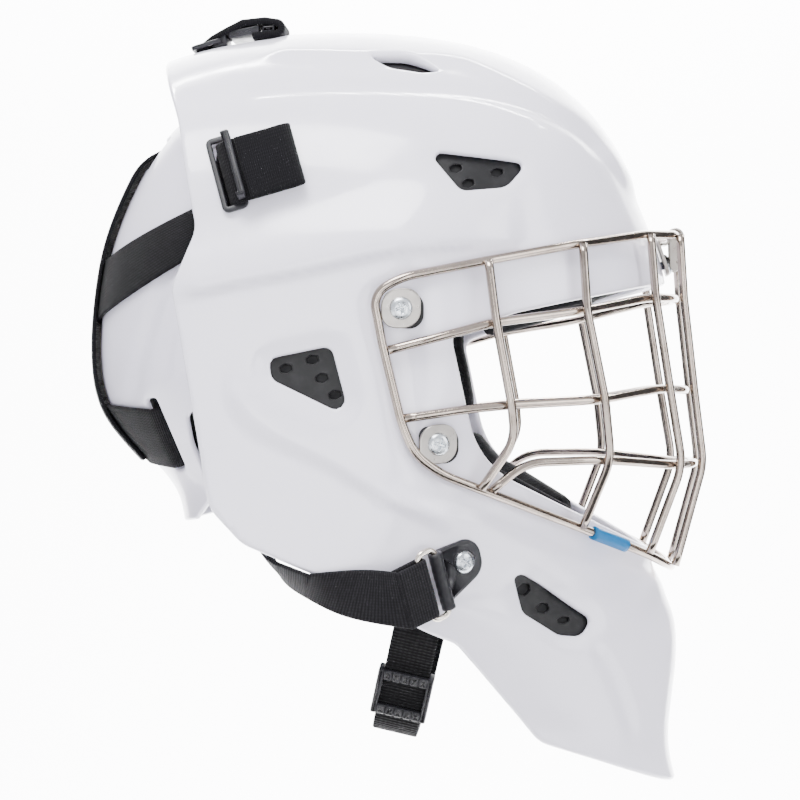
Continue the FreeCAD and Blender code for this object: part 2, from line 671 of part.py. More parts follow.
def screw_at(placement, seat):
    """A cross-recessed pan-head screw whose head rests at seat above the placement."""
    head = Part.makeCylinder(size("head_radius"), size("head_height"), Vector(0, 0, seat))
    head = head.makeFillet(size("head_height") * 0.7, [head.Edges[0]])
    shank = Part.makeCylinder(size("shank_radius"), size("shank_length"), Vector(0, 0, seat - size("shank_length")))
    screw = head.fuse(shank)
    floor = seat + size("head_height") - size("drive_depth")
    for span, width in ((size("drive_span"), size("drive_width")), (size("drive_width"), size("drive_span"))):
        screw = screw.cut(Part.makeBox(span, width, 5, Vector(-span / 2, -width / 2, floor)))
    screw.Placement = placement
    return screw


def nut_at(placement, seat):
    """A tee nut whose flange's outer face is at seat, with its barrel pointing inwards."""
    flange = Part.makeCylinder(size("nut_flange"), size("nut_plate"), Vector(0, 0, seat - size("nut_plate")))
    depth = size("shank_length") - 8
    nut = flange.fuse(Part.makeCylinder(size("nut_barrel"), depth, Vector(0, 0, seat - depth)))
    nut = nut.cut(Part.makeCylinder(SCREW_HOLE, 40, Vector(0, 0, seat - 30)))
    nut.Placement = placement
    return nut


NUT_SEAT = 5.2  # how far the tee nuts' flanges lie below the shell's outer surface


def both_sides(shapes):
    """The right-hand shapes and their left-hand twins, as one compound."""
    return Part.makeCompound(shapes + [mirrored(shape) for shape in shapes])


def make_cage_fixings():
    """Tabs and gaskets under the cage's corners, and its bracket and clip at the brow."""
    body = shell_form.wall(-0.15, 14.0)
    lip = size("gasket_depth")
    tabs, gaskets = [], []
    for x, z in CAGE_SCREWS:
        site = shell_form.site(x, z)
        hole = axis_rod(site, SCREW_HOLE, -10, 10)
        tabs.append(plate_at(site, TAB_CORNERS, lip + 0.05, lip + size("tab_depth")).cut(hole))
        gaskets.append(plate_at(site, GASKET_CORNERS, -3, lip).cut([body, hole]))
    feature("cage_tabs", both_sides(tabs))
    feature("cage_gaskets", both_sides(gaskets))
    bracket = plate_at(BROW_SCREW, BRACKET_CORNERS, BRACKET_TOP - 1.4, BRACKET_TOP)
    clip = [Vector(x, 0, z) for x, z in CLIP]
    feature("cage_bracket", bracket.cut(axis_rod(BROW_SCREW, SCREW_HOLE, -10, 10)))
    feature("cage_clip", strap_along(clip, Vector(0, 1, 0), 14, 1.4, 3.0))


def make_screws():
    """The screws and tee nuts of the cage and of the jaw anchors, all alike."""
    cage_seat = size("gasket_depth") + size("tab_depth") + 0.05
    places = [(shell_form.site(x, z), cage_seat) for x, z in CAGE_SCREWS]
    places.append((shell_form.site(*JAW_SCREW), size("anchor_depth") + 0.05))
    screws = both_sides([screw_at(site, seat) for site, seat in places])
    nuts = both_sides([nut_at(site, -NUT_SEAT) for site, _ in places])
    feature("screws", Part.makeCompound(screws.Solids + [screw_at(BROW_SCREW, BRACKET_TOP + 0.05)]))
    feature("tee_nuts", Part.makeCompound(nuts.Solids + [nut_at(BROW_SCREW, -NUT_SEAT)]))


# ---------------------------------------------------------------- jaw anchors and their rings
ANCHOR_PLATE = [(-13.2, 9.9, 1), (9.4, 8.8, 8), (8.6, -7.2, 8), (0, -10.4, 8), (-13.2, -15.2, 1)]
BARREL_AT, BARREL_LOW, BARREL_HIGH = -13.2, -15.2, 9.9
BARREL_LIFT = 4.4
ANCHOR_WAY = (0.97, 0.24)


def ring_corners():
    """The ring's outline: one long side runs in the barrel and the strap is on the other."""
    far = BARREL_AT - size("ring_reach")
    low = (BARREL_LOW + BARREL_HIGH - size("ring_span")) / 2
    high = low + size("ring_span")
    return [Vector(BARREL_AT, (low + high) / 2, BARREL_LIFT), Vector(BARREL_AT, high, BARREL_LIFT),
            Vector(far, high, BARREL_LIFT), Vector(far, low, BARREL_LIFT), Vector(BARREL_AT, low, BARREL_LIFT),
            Vector(BARREL_AT, (low + high) / 2, BARREL_LIFT)]


def make_jaw_anchors():
    """The hinged strap anchors at the jaw, each with its ring and the strap end sewn round the ring."""
    site = shell_form.site(*JAW_SCREW, 0.0, ANCHOR_WAY)
    body = shell_form.wall(-0.2, 14.0)
    hole = axis_rod(site, SCREW_HOLE, -10, 10)
    plate = plate_at(Placement(), ANCHOR_PLATE, -2, size("anchor_depth"))
    length = BARREL_HIGH - BARREL_LOW
    barrel = Part.makeCylinder(size("barrel_radius"), length, Vector(BARREL_AT, BARREL_LOW, BARREL_LIFT), Vector(0, 1, 0))
    bore = Part.makeCylinder(size("ring_wire") + 0.25, length + 20, Vector(BARREL_AT, BARREL_LOW - 10, BARREL_LIFT), Vector(0, 1, 0))
    anchor = plate.fuse(barrel).cut(bore)
    anchor.Placement = site
    anchor = anchor.cut([body, hole])
    ring = rod_along(ring_corners(), size("ring_wire"), 3.0)
    ring.Placement = site
    middle = (BARREL_LOW + BARREL_HIGH) / 2
    gap = size("ring_wire") + size("webbing") / 2 + 0.25
    far = BARREL_AT - size("ring_reach")
    path = [Vector(far - 12, middle, BARREL_LIFT + gap), Vector(far + gap, middle, BARREL_LIFT + gap),
            Vector(far + gap, middle, BARREL_LIFT - gap), Vector(far - 12, middle, BARREL_LIFT - gap * 0.72)]
    loop = strap_along(path, Vector(0, 1, 0), size("elastic_width"), size("webbing"), gap)
    loop.Placement = site
    for name, shape in (("jaw_anchor", anchor), ("strap_ring", ring), ("ring_strap_end", loop)):
        feature(f"{name}_right", shape)
        feature(f"{name}_left", mirrored(shape))


def make_sleeve():
    """A plastic sleeve clipped round the lower rim."""
    rim = rim_points()
    start, end = rim[-4], rim[-3]
    run = end - start
    path = Part.Wire(Part.LineSegment(start + run * 0.22, start + run * 0.72).toShape())
    rings = []
    for radius in (size("wire_radius") + 1.1, size("wire_radius") + 0.15):
        profile = Part.Wire(Part.makeCircle(radius, start + run * 0.22, run))
        rings.append(path.makePipeShell([profile], True, True))
    feature("cage_sleeve", rings[0].cut(rings[1]))


# ---------------------------------------------------------------- backplate and harness
PLATE_OUTLINE = [
    (-200, 127, 0), (-94, 127, 6), (-80, 118, 8), (-80, -4.5, 3), (-89, -4.5, 4), (-87.5, -19, 12), (-83, -31, 10),
    (-77.5, -43.5, 3), (-76, -50, 3), (-110, -57.5, 3), (-200, -57.5, 0),
]
LINER_OUTLINE = [
    (-200, 106, 0), (-94, 106, 14), (-104, 60, 30), (-112, -10, 20), (-112, -24, 8), (-200, -24, 0),
]
BAND_LIFT = 0.5
UPPER_BAND = (-0.62, 60.0, 35.5)  # end of the band round the plate, and the heights of its edges at the middle
UPPER_BAND_RISE = 27.0
LOWER_BAND = (-0.385, -2.0, -26.5)  # where it starts to dive through the plate, and its edges' heights
LOWER_BAND_DROP = 2.2
DIVE_DEPTH, DIVE_END, LOWER_BAND_END = 6.6, 0.475, 0.50
BACK_STRAP_HALF = 0.155  # half the back strap's width, as a share of the way round the plate
BACK_STEPS = [(118, -4.4), (113.5, -2.4), (108.5, 1.0), (103, 3.2)] + [(96 - 10 * i, 3.7) for i in range(11)]


def band_row(across, high, low, lift):
    """Three points across a band that lies round the backplate, from its upper edge to its lower edge."""
    return [plate_form.at_height(across, z, lift) for z in (high, (high + low) / 2, low)]


def upper_band_row(across, lift):
    """A row of the upper band; its ends rise."""
    rise = UPPER_BAND_RISE * (across / UPPER_BAND[0]) ** 2
    return band_row(across, UPPER_BAND[1] + rise, UPPER_BAND[2] + rise, lift)


def lower_band_row(across, lift, spare=0.0):
    """A row of the lower band; its ends drop. spare widens it on both edges."""
    drop = LOWER_BAND_DROP * (across / LOWER_BAND[0]) ** 2
    return band_row(across, LOWER_BAND[1] - drop + spare, LOWER_BAND[2] - drop - spare, lift)


def back_row(z, lift, half):
    """A row of the strap down the middle of the back."""
    return [plate_form.at_height(share * half, z, lift) for share in (1, 0, -1)]


def dive(across):
    """Height of the lower band's middle layer over the plate: level round the back, then down through a slot."""
    share = (abs(across) + LOWER_BAND[0]) / (DIVE_END + LOWER_BAND[0])
    return BAND_LIFT + size("webbing") / 2 - DIVE_DEPTH * smooth(share)


def make_backplate():
    """The rear plate with its foam and the elastic bands that lie round it."""
    half = size("webbing") / 2
    steps = [-0.372 - 0.0185 * i for i in range(7)]
    slot_rows = [lower_band_row(across, dive(across), 1.5) for across in steps]
    slot = between(slot_rows, -half - 1.6, 2 * half + 3.2)
    top_rows = [back_row(z, lift, BACK_STRAP_HALF + 0.012) for z, lift in BACK_STEPS[:4]]
    top_slot = between(top_rows, -half - 1.4, 2 * half + 2.8)
    plate = plate_form.wall(0.0, size("plate_wall"), 30, 41).common(side_prism(PLATE_OUTLINE))
    feature("backplate", plate.cut([slot, mirrored(slot), top_slot]))
    inner = size("plate_wall") + size("lining_gap")
    liner = plate_form.wall(inner, inner + size("plate_foam"), 30, 41).common(side_prism(LINER_OUTLINE))
    feature("backplate_liner", liner)

    count = 13
    end = UPPER_BAND[0]
    rows = [upper_band_row(end + -2 * end * i / (count - 1), 0) for i in range(count)]
    feature("upper_band", between(rows, BAND_LIFT, size("webbing")))
    count = 33
    steps = [-LOWER_BAND_END + 2 * LOWER_BAND_END * i / (count - 1) for i in range(count)]
    rows = [lower_band_row(across, dive(across)) for across in steps]
    feature("lower_band", between(rows, -half, size("webbing")))
    rows = [back_row(z, lift, BACK_STRAP_HALF) for z, lift in BACK_STEPS]
    feature("back_strap", between(rows, -half, size("webbing")))


FOLD_STEPS = [(-0.4, -6.0), (-0.2, -2.0), (0.8, 2.4), (5.6, 6.2), (12.0, 4.6), (18.0, 3.6), (24.0, 3.0), (29.4, 2.8)]


FOLD_HALF = 13.0  # half the strap's width at the slot, in the side view


def slot_row(ahead, lift):
    """Three points across the strap that runs through the shell's side slot, from its top edge down."""
    row = []
    for side in (-FOLD_HALF, 0.0, FOLD_HALF):
        x = SIDE_SLOT[0] + SLOT_TILT[0] * side - SLOT_TILT[1] * ahead
        z = SIDE_SLOT[1] + SLOT_TILT[1] * side + SLOT_TILT[0] * ahead
        row.append(shell_form.over(x, z, lift))
    return row


def frame_at(placement, behind, ahead, half_width, low):
    """A rectangular strap frame with a bar on each side of its opening."""
    bar = size("frame_bar")
    outer = [(behind - bar, -half_width - bar, 1.5), (ahead + bar, -half_width - bar, 1.5),
             (ahead + bar, half_width + bar, 1.5), (behind - bar, half_width + bar, 1.5)]
    inner = [(behind, -half_width, 0.6), (ahead, -half_width, 0.6), (ahead, half_width, 0.6), (behind, half_width, 0.6)]
    frame = plate_at(placement, outer, low, low + size("frame_depth"))
    return frame.cut(plate_at(placement, inner, low - 1, low + size("frame_depth") + 1))


TOP_FOLD = [
    (-90.7, 153.0), (-89.6, 158.6), (-84.0, 163.2), (-78.0, 166.6), (-70.5, 170.4), (-60.5, 171.4), (-52.6, 170.2),
    (-53.2, 165.6), (-66.0, 164.5),
]
TOP_LINK = [(-90.9, 151.8), (-89.6, 140.0), (-90.0, 127.0), (-98.6, 115.2)]


def make_harness():
    """The strap folds on the shell and the elastic runs between the shell and the backplate."""
    width, thick = size("elastic_width"), size("webbing")
    across = Vector(0, 1, 0)
    fold = between([slot_row(*step) for step in FOLD_STEPS], -thick / 2, thick)
    frame = frame_at(shell_form.site(*SIDE_SLOT, 0.0, (0.957, 0.29)), -2.0, 4.4, 15.0, 0.15)
    start = slot_row(-0.8, -7.0)
    end = upper_band_row(UPPER_BAND[0] - 0.012, BAND_LIFT + thick / 2)
    middle = [(a + b) * 0.5 + Vector(-2.0, -5.0, 2.0) for a, b in zip(start, end)]
    upper = between([start, middle, end], -thick / 2, thick)
    for name, shape in (("side_strap_fold", fold), ("side_strap_frame", frame), ("upper_strap", upper)):
        feature(f"{name}_right", shape)
        feature(f"{name}_left", mirrored(shape))
    feature("top_strap_fold", strap_along([Vector(x, 0, z) for x, z in TOP_FOLD], across, width, thick, 3.0))
    feature("top_strap_link", strap_along([Vector(x, 0, z) for x, z in TOP_LINK], across, width, thick, 30.0))
    tilt = Rotation(Vector(0.96, 0, 0.28), Vector(0, 1, 0), Vector(-0.28, 0, 0.96), "XZY")
    feature("top_strap_frame", frame_at(Placement(Vector(-86.4, 0, 158.9), tilt), -4.6, 5.0, 12.8, 0.6))


def make_lower_straps():
    """The elastic from each jaw ring, under the shell's lower edge and up to the backplate."""
    thick = size("webbing")
    site = shell_form.site(*JAW_SCREW, 0.0, ANCHOR_WAY)
    far = BARREL_AT - size("ring_reach") - 13.2
    half = size("elastic_width") / 2
    middle = (BARREL_LOW + BARREL_HIGH) / 2
    ring_end = [site.multVec(Vector(far, middle + half * share, BARREL_LIFT)) for share in (1, 0, -1)]
    under = [Vector(-31, -115.4, -75.4), Vector(-31.8, -105.5, -78.8), Vector(-33.5, -94.5, -79.2)]
    outside = [Vector(-10.5, -117, -72.5), Vector(-13, -115.5, -82), Vector(-15.5, -113, -92)]
    turn = [Vector(-41, -111, -72.3), Vector(-41.6, -101, -75.6), Vector(-42.6, -89.5, -76)]
    inside = [Vector(-51.5, -104, -64), Vector(-50.5, -95, -67), Vector(-49.5, -84, -67.5)]
    rising = [Vector(-64, -97, -35), Vector(-62.5, -91, -45), Vector(-59.5, -84, -54)]
    notch = [Vector(-78, -74, -14), Vector(-75.5, -75, -26), Vector(-73, -75, -37.5)]
    start = lower_band_row(-LOWER_BAND_END - 0.02, dive(LOWER_BAND_END) - 0.4)
    front = between([ring_end, outside, under], -thick / 2, thick)
    rear = between([under_edge(under, turn), turn, inside, rising, notch, start], -thick / 2, thick)
    for name, shape in (("lower_strap_front", front), ("lower_strap_rear", rear)):
        feature(f"{name}_right", shape)
        feature(f"{name}_left", mirrored(shape))


def under_edge(row, towards):
    """The row moved a little way towards the next, so that two strap pieces meet with a hairline between them."""
    return [a + (b - a) * 0.06 for a, b in zip(row, towards)]


# ---------------------------------------------------------------- chin strap
CHIN_DOWN, CHIN_AHEAD = Vector(-0.225, 0, -0.974), Vector(0.974, 0, -0.225)
CHIN_STEPS = [(0.0, -7.0), (0.0, 12.0), (21.5, 58.0)]  # how far inwards of the anchor and how far down
CHIN_BENDS = [25.0, 14.0]
SLIDER_DOWN = 39.5


def chin_point(inward, down):
    """A point of the right half of the chin strap's middle line."""
    return chin_pin().Base + Vector(0, inward, 0) + CHIN_DOWN * down


def make_chin_strap():
    """The chin strap, its two rivets and the slider on its right leg."""
    right = [chin_point(*step) for step in CHIN_STEPS]
    left = [Vector(p.x, -p.y, p.z) for p in reversed(right)]
    points = right + left
    radii = CHIN_BENDS + list(reversed(CHIN_BENDS))
    path = turned(points, radii)
    half, thick = size("chin_width") / 2, size("chin_webbing") / 2
    start = points[0]
    corners = [start + CHIN_AHEAD * (half * i) + Vector(0, thick * j, 0) for i, j in ((1, 1), (-1, 1), (-1, -1), (1, -1))]
    strap = path.makePipeShell([Part.makePolygon(corners + [corners[0]])], True, True)
    pin = chin_pin()
    hole = axis_rod(pin, size("shank_radius") + 0.2, -5, 5)
    strap = strap.cut([hole, mirrored(hole)])
    feature("chin_strap", strap)
    rivet = axis_rod(pin, size("shank_radius"), -2.6, CHIN_INSET - RIVET_SKIN - 0.1)
    rivet = rivet.fuse([axis_rod(pin, 4.4, -2.8, -1.3), axis_rod(pin, 3.6, 1.3, 2.6)])
    feature("chin_rivet_right", rivet)
    feature("chin_rivet_left", mirrored(rivet))

    run = (right[2] - right[1]).normalize()
    share = (SLIDER_DOWN - CHIN_STEPS[1][1]) / (CHIN_STEPS[2][1] - CHIN_STEPS[1][1])
    at = right[1] + (right[2] - right[1]) * share
    out = run.cross(CHIN_AHEAD).normalize()
    if out.y > 0:
        out = out * -1
    place = Placement(at, Rotation(CHIN_AHEAD, Vector(), out, "ZXY"))
    wide, tall, deep, bar = half + 0.4 + size("slider_bar"), size("slider_height") / 2, size("slider_depth") / 2, size("slider_bar")
    block = plate_at(place, [(-wide, -tall, 1.2), (wide, -tall, 1.2), (wide, tall, 1.2), (-wide, tall, 1.2)], -deep, deep)
    channel = Part.makeBox(2 * (half + 0.4), 4 * tall, 2 * (thick + 0.3), Vector(-half - 0.4, -2 * tall, -thick - 0.3))
    channel.Placement = place
    window = plate_at(place, [(-half, -tall + 5, 1), (half, -tall + 5, 1), (half, tall - 5, 1), (-half, tall - 5, 1)], 0, deep + 1)
    feature("chin_slider", block.cut([channel, window]))


# ---------------------------------------------------------------- build, check and write
def main():
    """Builds every sub-part, checks it and writes it."""
    make_shell()
    make_grilles()
    make_pads()
    make_cage()
    make_cage_fixings()
    make_screws()
    make_sleeve()
    make_jaw_anchors()
    make_backplate()
    make_harness()
    make_lower_straps()
    make_chin_strap()
    doc.recompute()
    os.makedirs("parts", exist_ok=True)
    for made in finished:
        if "Invalid" in made.State or "Error" in made.State:
            raise RuntimeError(f"{made.Label} did not recompute")
        if made.Shape.isNull() or not made.Shape.isValid() or not made.Shape.Solids:
            raise RuntimeError(f"{made.Label} is not a valid solid")
        made.Shape.exportStep(f"parts/{made.Label}.step")
    print(f"{len(finished)} sub-parts written")


main()
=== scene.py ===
import math
import bpy
import numpy as np
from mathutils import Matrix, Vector


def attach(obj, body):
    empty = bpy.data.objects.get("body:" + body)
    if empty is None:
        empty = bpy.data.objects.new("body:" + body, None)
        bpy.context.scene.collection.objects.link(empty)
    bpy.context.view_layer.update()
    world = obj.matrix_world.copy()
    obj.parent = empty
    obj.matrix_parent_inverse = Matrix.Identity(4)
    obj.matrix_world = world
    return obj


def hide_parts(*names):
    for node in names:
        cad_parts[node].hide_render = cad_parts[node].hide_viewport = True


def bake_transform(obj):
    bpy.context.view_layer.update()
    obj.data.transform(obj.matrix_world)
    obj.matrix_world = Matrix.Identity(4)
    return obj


# An ice hockey goalie mask. Lengths in this file are millimetres unless a name says otherwise, and the
# meshes are turned to metres when they are made. +X is forwards, +Z is up, and the right side is at -Y.
MM = 0.001

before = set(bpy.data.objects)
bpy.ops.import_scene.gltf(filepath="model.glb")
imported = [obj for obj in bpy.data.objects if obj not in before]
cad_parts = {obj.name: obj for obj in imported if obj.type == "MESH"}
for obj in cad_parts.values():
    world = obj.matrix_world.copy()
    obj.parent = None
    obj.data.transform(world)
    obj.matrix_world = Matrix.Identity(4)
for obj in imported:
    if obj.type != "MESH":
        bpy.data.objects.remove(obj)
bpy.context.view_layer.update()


# ---------------------------------------------------------------- mathematics
def smooth(value):
    """0 below 0, 1 above 1, and an S between."""
    value = np.clip(value, 0.0, 1.0)
    return value * value * (3 - 2 * value)


def bump_at(distance, half_width):
    """1 at distance 0, falling smoothly to 0 at half_width on both sides."""
    return 1 - smooth(np.abs(distance) / half_width)


def unit(vectors):
    """The vectors at length 1."""
    vectors = np.asarray(vectors, float)
    return vectors / np.maximum(np.linalg.norm(vectors, axis=-1, keepdims=True), 1e-12)


def natural_spline(knots, values):
    """The natural cubic spline through (knots, values), as a function of an array."""
    knots, values = np.asarray(knots, float), np.asarray(values, float)
    gap = np.diff(knots)
    rise = np.diff(values, axis=0) / (gap if values.ndim == 1 else gap[:, None])
    count = len(knots)
    matrix, right = np.eye(count), np.zeros_like(values)
    for i in range(1, count - 1):
        matrix[i, i - 1:i + 2] = gap[i - 1], 2 * (gap[i - 1] + gap[i]), gap[i]
        right[i] = 6 * (rise[i] - rise[i - 1])
    second = np.linalg.solve(matrix, right)

    def value(at):
        at = np.asarray(at, float)
        i = np.clip(np.searchsorted(knots, at) - 1, 0, count - 2)
        a, b, h = knots[i + 1] - at, at - knots[i], gap[i]
        if values.ndim > 1:
            a, b, h = a[..., None], b[..., None], h[..., None]
        bend = second[i] * (a**3 / h - h * a) + second[i + 1] * (b**3 / h - h * b)
        return bend / 6 + values[i] * a / h + values[i + 1] * b / h

    return value


def arc_points(before, corner, after, radius, step_deg=9.0):
    """Points on the arc that rounds a corner, in 2-D or 3-D."""
    into, out = unit(before - corner), unit(after - corner)
    half = math.acos(float(np.clip(np.dot(into, out), -1, 1))) / 2
    if half > math.radians(89.7) or radius <= 0:
        return [corner]
    centre = corner + unit(into + out) * (radius / math.sin(half))
    start = corner + into * (radius / math.tan(half)) - centre
    end = corner + out * (radius / math.tan(half)) - centre
    turn = math.pi - 2 * half
    count = max(2, math.ceil(math.degrees(turn) / step_deg) + 1)
    made = []
    for share in np.linspace(0, 1, count):
        swung = start * math.sin((1 - share) * turn) + end * math.sin(share * turn)
        made.append(centre + swung / math.sin(turn))
    return made


def rounded(corners, step_deg=9.0):
    """The closed outline through corners (u, v, radius), as an array of points."""
    made = []
    for i, (u, v, radius) in enumerate(corners):
        before = np.array(corners[i - 1][:2], float)
        after = np.array(corners[(i + 1) % len(corners)][:2], float)
        made += arc_points(before, np.array([u, v], float), after, radius, step_deg)
    return np.array(made)


def box(u_low, v_low, u_high, v_high, radius, step_deg=9.0):
    """The outline of a rectangle with rounded corners."""
    corners = ((u_low, v_low), (u_high, v_low), (u_high, v_high), (u_low, v_high))
    return rounded([(u, v, radius) for u, v in corners], step_deg)


def bent(points, most, step_deg=9.0):
    """The open path through 3-D points, with bends as large as the runs allow, up to most."""
    points = [np.asarray(p, float) for p in points]
    made = [points[0]]
    for before, here, after in zip(points, points[1:], points[2:]):
        into, out = before - here, after - here
        half = math.acos(float(np.clip(np.dot(unit(into), unit(out)), -1, 1))) / 2
        radius = min(most, 0.47 * min(np.linalg.norm(into), np.linalg.norm(out)) * math.tan(half))
        made += arc_points(before, here, after, radius, step_deg)
    return np.array(made + [points[-1]])


def evenly(path, step):
    """The same open path with its points at most step apart."""
    gaps = np.linalg.norm(np.diff(path, axis=0), axis=1)
    made = [path[:1]]
    for a, b, gap in zip(path, path[1:], gaps):
        share = np.linspace(0, 1, max(1, math.ceil(gap / step)) + 1)[1:, None]
        made.append(a + (b - a) * share)
    return np.concatenate(made)


def run_along(points):
    """The distance along an open line at each of its points."""
    return np.concatenate([[0], np.cumsum(np.linalg.norm(np.diff(points, axis=0), axis=1))])


CURVE_STEP = 2.0


def curve(points):
    """The smooth open line through a few points of the side view."""
    points = np.array(points, float)
    knots = run_along(points)
    return natural_spline(knots, points)(np.linspace(0, knots[-1], math.ceil(knots[-1] / CURVE_STEP) + 1))


END_FADE = 14.0  # the length over which a crease dies away at each end


def beside(line, u, v):
    """Each point's distance from the open line, positive on its left, and a fade to 0 at both ends."""
    nearest, signed, reached = np.full(u.shape, 1e18), np.zeros(u.shape), np.zeros(u.shape)
    start = 0.0
    for (au, av), (bu, bv) in zip(line, line[1:]):
        du, dv = bu - au, bv - av
        length = math.hypot(du, dv)
        along = np.clip(((u - au) * du + (v - av) * dv) / length ** 2, 0, 1)
        gap = np.hypot(u - au - along * du, v - av - along * dv)
        closer = gap < nearest
        nearest = np.where(closer, gap, nearest)
        signed = np.where(closer, gap * np.sign(du * (v - av) - dv * (u - au)), signed)
        reached = np.where(closer, start + along * length, reached)
        start += length
    return signed, smooth(reached / END_FADE) * smooth((start - reached) / END_FADE)


def inside_distance(outline, u, v):
    """How far each point (u, v) is inside the closed outline; negative outside."""
    u, v = np.asarray(u, float), np.asarray(v, float)
    nearest, inside = np.full(u.shape, 1e18), np.zeros(u.shape, bool)
    outline = np.asarray(outline, float)[:, :2]
    for (au, av), (bu, bv) in zip(np.roll(outline, 1, axis=0), outline):
        du, dv = bu - au, bv - av
        along = np.clip(((u - au) * du + (v - av) * dv) / (du * du + dv * dv + 1e-18), 0, 1)
        nearest = np.minimum(nearest, (u - au - along * du) ** 2 + (v - av - along * dv) ** 2)
        if abs(dv) > 1e-12:
            inside ^= ((av > v) != (bv > v)) & (u < au + (v - av) * du / dv)
    return np.sqrt(nearest) * np.where(inside, 1, -1)


# ---------------------------------------------------------------- the moulded surfaces
class Moulding:
    """A surface like a helmet's. Its middle line lies in the plane y = 0. From each point of that line
    a hoop runs to both sides: a quarter of an ellipse, and then nearly flat towards a fixed centre."""

    def __init__(self, centre, middle_line, depth_at, width_at, hub):
        self.centre, self.width_at, self.depth_at, self.hub = centre, width_at, depth_at, hub
        line = np.array(middle_line, float)
        knots = run_along(line)
        self.length = knots[-1]
        self.line = natural_spline(knots, line)
        middle = self.line(np.array([0.45, 0.55]) * self.length) - np.array(centre)
        self.sense = -1 if np.cross(middle[0], middle[1]) > 0 else 1

    def hoop(self, along):
        """At each distance along the middle line: reach from the centre, its direction, the cosine between
        that direction and the line's normal, and the depth of the elliptical part."""
        at = self.line(along)
        tangent = self.line(along + 0.5) - self.line(along - 0.5)
        away = at - np.array(self.centre)
        reach = np.linalg.norm(away, axis=-1)
        slant = np.abs(away[..., 0] * tangent[..., 1] - away[..., 1] * tangent[..., 0])
        slant = slant / (reach * np.linalg.norm(tangent, axis=-1))
        return reach, away / reach[..., None], slant, self.depth_at(at[..., 0], at[..., 1])

    def point(self, along, across):
        """Points of the outer surface; across runs from -1 at the right end to 1 at the left."""
        reach, way, slant, depth = self.hoop(along)
        round_part = depth / slant
        flat_part = np.maximum(0.0, reach - round_part - self.hub)
        s = np.abs(across) * (1 + flat_part / (round_part * math.pi / 2))
        bend = np.minimum(s, 1.0) * math.pi / 2
        inward = round_part * (1 - np.cos(bend) + np.maximum(0.0, s - 1) * math.pi / 2)
        x = self.centre[0] + way[..., 0] * (reach - inward)
        z = self.centre[1] + way[..., 1] * (reach - inward)
        return np.stack([x, self.width_at(x, z) * np.sin(bend) * np.sign(across), z], axis=-1)

    def surface(self, along, across):
        """Points of the outer surface and their outward normals."""
        here = self.point(along, across)
        a = self.point(along + 0.4, across) - self.point(along - 0.4, across)
        c = self.point(along, across + 0.004) - self.point(along, across - 0.004)
        normal = unit(np.cross(a, c))
        away = here - np.array([self.centre[0], 0, self.centre[1]])
        return here, normal * np.sign(np.sum(normal * away, axis=-1))[..., None]

    def half_width(self, x, z):
        """Half the width of the outer surface at points of the side view."""
        x, z = np.asarray(x, float), np.asarray(z, float)
        dx, dz = x - self.centre[0], z - self.centre[1]
        low, high = np.zeros(x.shape), np.full(x.shape, self.length)
        for _ in range(36):
            middle = (low + high) / 2
            _, way, _, _ = self.hoop(middle)
            earlier = (way[..., 0] * dz - way[..., 1] * dx) * self.sense > 0
            low, high = np.where(earlier, low, middle), np.where(earlier, middle, high)
        reach, _, slant, depth = self.hoop(low)
        share = np.maximum(0.0, 1 - (reach - np.hypot(dx, dz)) * slant / depth)
        return self.width_at(x, z) * np.sqrt(np.maximum(0.0, 1 - share * share))

    def normal(self, x, z):
        """The outward normal of the right side at a point of the side view."""
        step = 0.5
        slope_x = float(self.half_width(x + step, z) - self.half_width(x - step, z)) / (2 * step)
        slope_z = float(self.half_width(x, z + step) - self.half_width(x, z - step)) / (2 * step)
        return unit([-slope_x, -1, -slope_z])

    def over(self, x, z, lift):
        """The point that stands off the right side by lift and is seen at x, z from the side."""
        foot_x, foot_z = x, z
        for _ in range(8):
            normal = self.normal(foot_x, foot_z)
            foot_x, foot_z = x - normal[0] * lift, z - normal[2] * lift
        return np.array([x, -float(self.half_width(foot_x, foot_z)) + normal[1] * lift, z])

    def site(self, x, z, towards=(1.0, 0.0)):
        """A place on the right side: origin, and the axes ahead, up and outwards."""
        normal = self.normal(x, z)
        ahead = np.array([towards[0], 0, towards[1]])
        ahead = unit(ahead - normal * np.dot(ahead, normal))
        origin = np.array([x, -float(self.half_width(x, z)), z])
        return origin, np.array([ahead, np.cross(normal, ahead), normal])

    def at_height(self, across, z, lift):
        """The lifted point of one hoop position whose height is z, on a surface that runs downwards."""
        low, high = 0.0, self.length
        across = np.array(across, float)
        for _ in range(30):
            middle = (low + high) / 2
            low, high = (middle, high) if self.point(np.array(middle), across)[2] > z else (low, middle)
        here, normal = self.surface(np.array(low), across)
        return here + normal * lift


SHELL_LINE = [
    (-126, 144), (-105, 153), (-72, 161.5), (-30, 165), (5, 163.5), (40, 156.5), (73, 140), (95, 115),
    (110, 83), (119.5, 55), (120, 20), (117, -20), (113.5, -55), (115, -77), (123, -95), (125, -112),
    (122.8, -135), (121.8, -157), (126, -176), (131, -200),
]
SHELL_CENTRE, SHELL_HUB = (-100, -75), 14.0
CHIN_KNOTS = [-150, -60, 0, 20, 40, 65, 85, 110, 140, 200]
SHELL_WIDTHS = natural_spline(CHIN_KNOTS, [104, 106, 106.5, 106, 104, 97, 87, 75, 63, 50])
DEPTH_KNOTS = [-170, -98, 16, 66, 100, 136, 177, 201, 230]
SHELL_DEPTHS = natural_spline(DEPTH_KNOTS, [94, 99, 111, 115, 112, 101, 80, 72, 66])
SHOULDER_STEP, SHOULDER_RISE = 7.0, 30.0
SEAT = [
    (170, 89), (42, 62), (2, 54.5), (-8, 49), (-11.5, 41), (-8, 20), (0, -11), (7, -24), (17, -33),
    (40, -43.5), (80, -61), (113, -75), (170, -99),
]
SEAT_DEPTH, SEAT_SLOPE = 0.9, 9.0  # the seat in part.py is 3.4 deep
WALL = 3.5


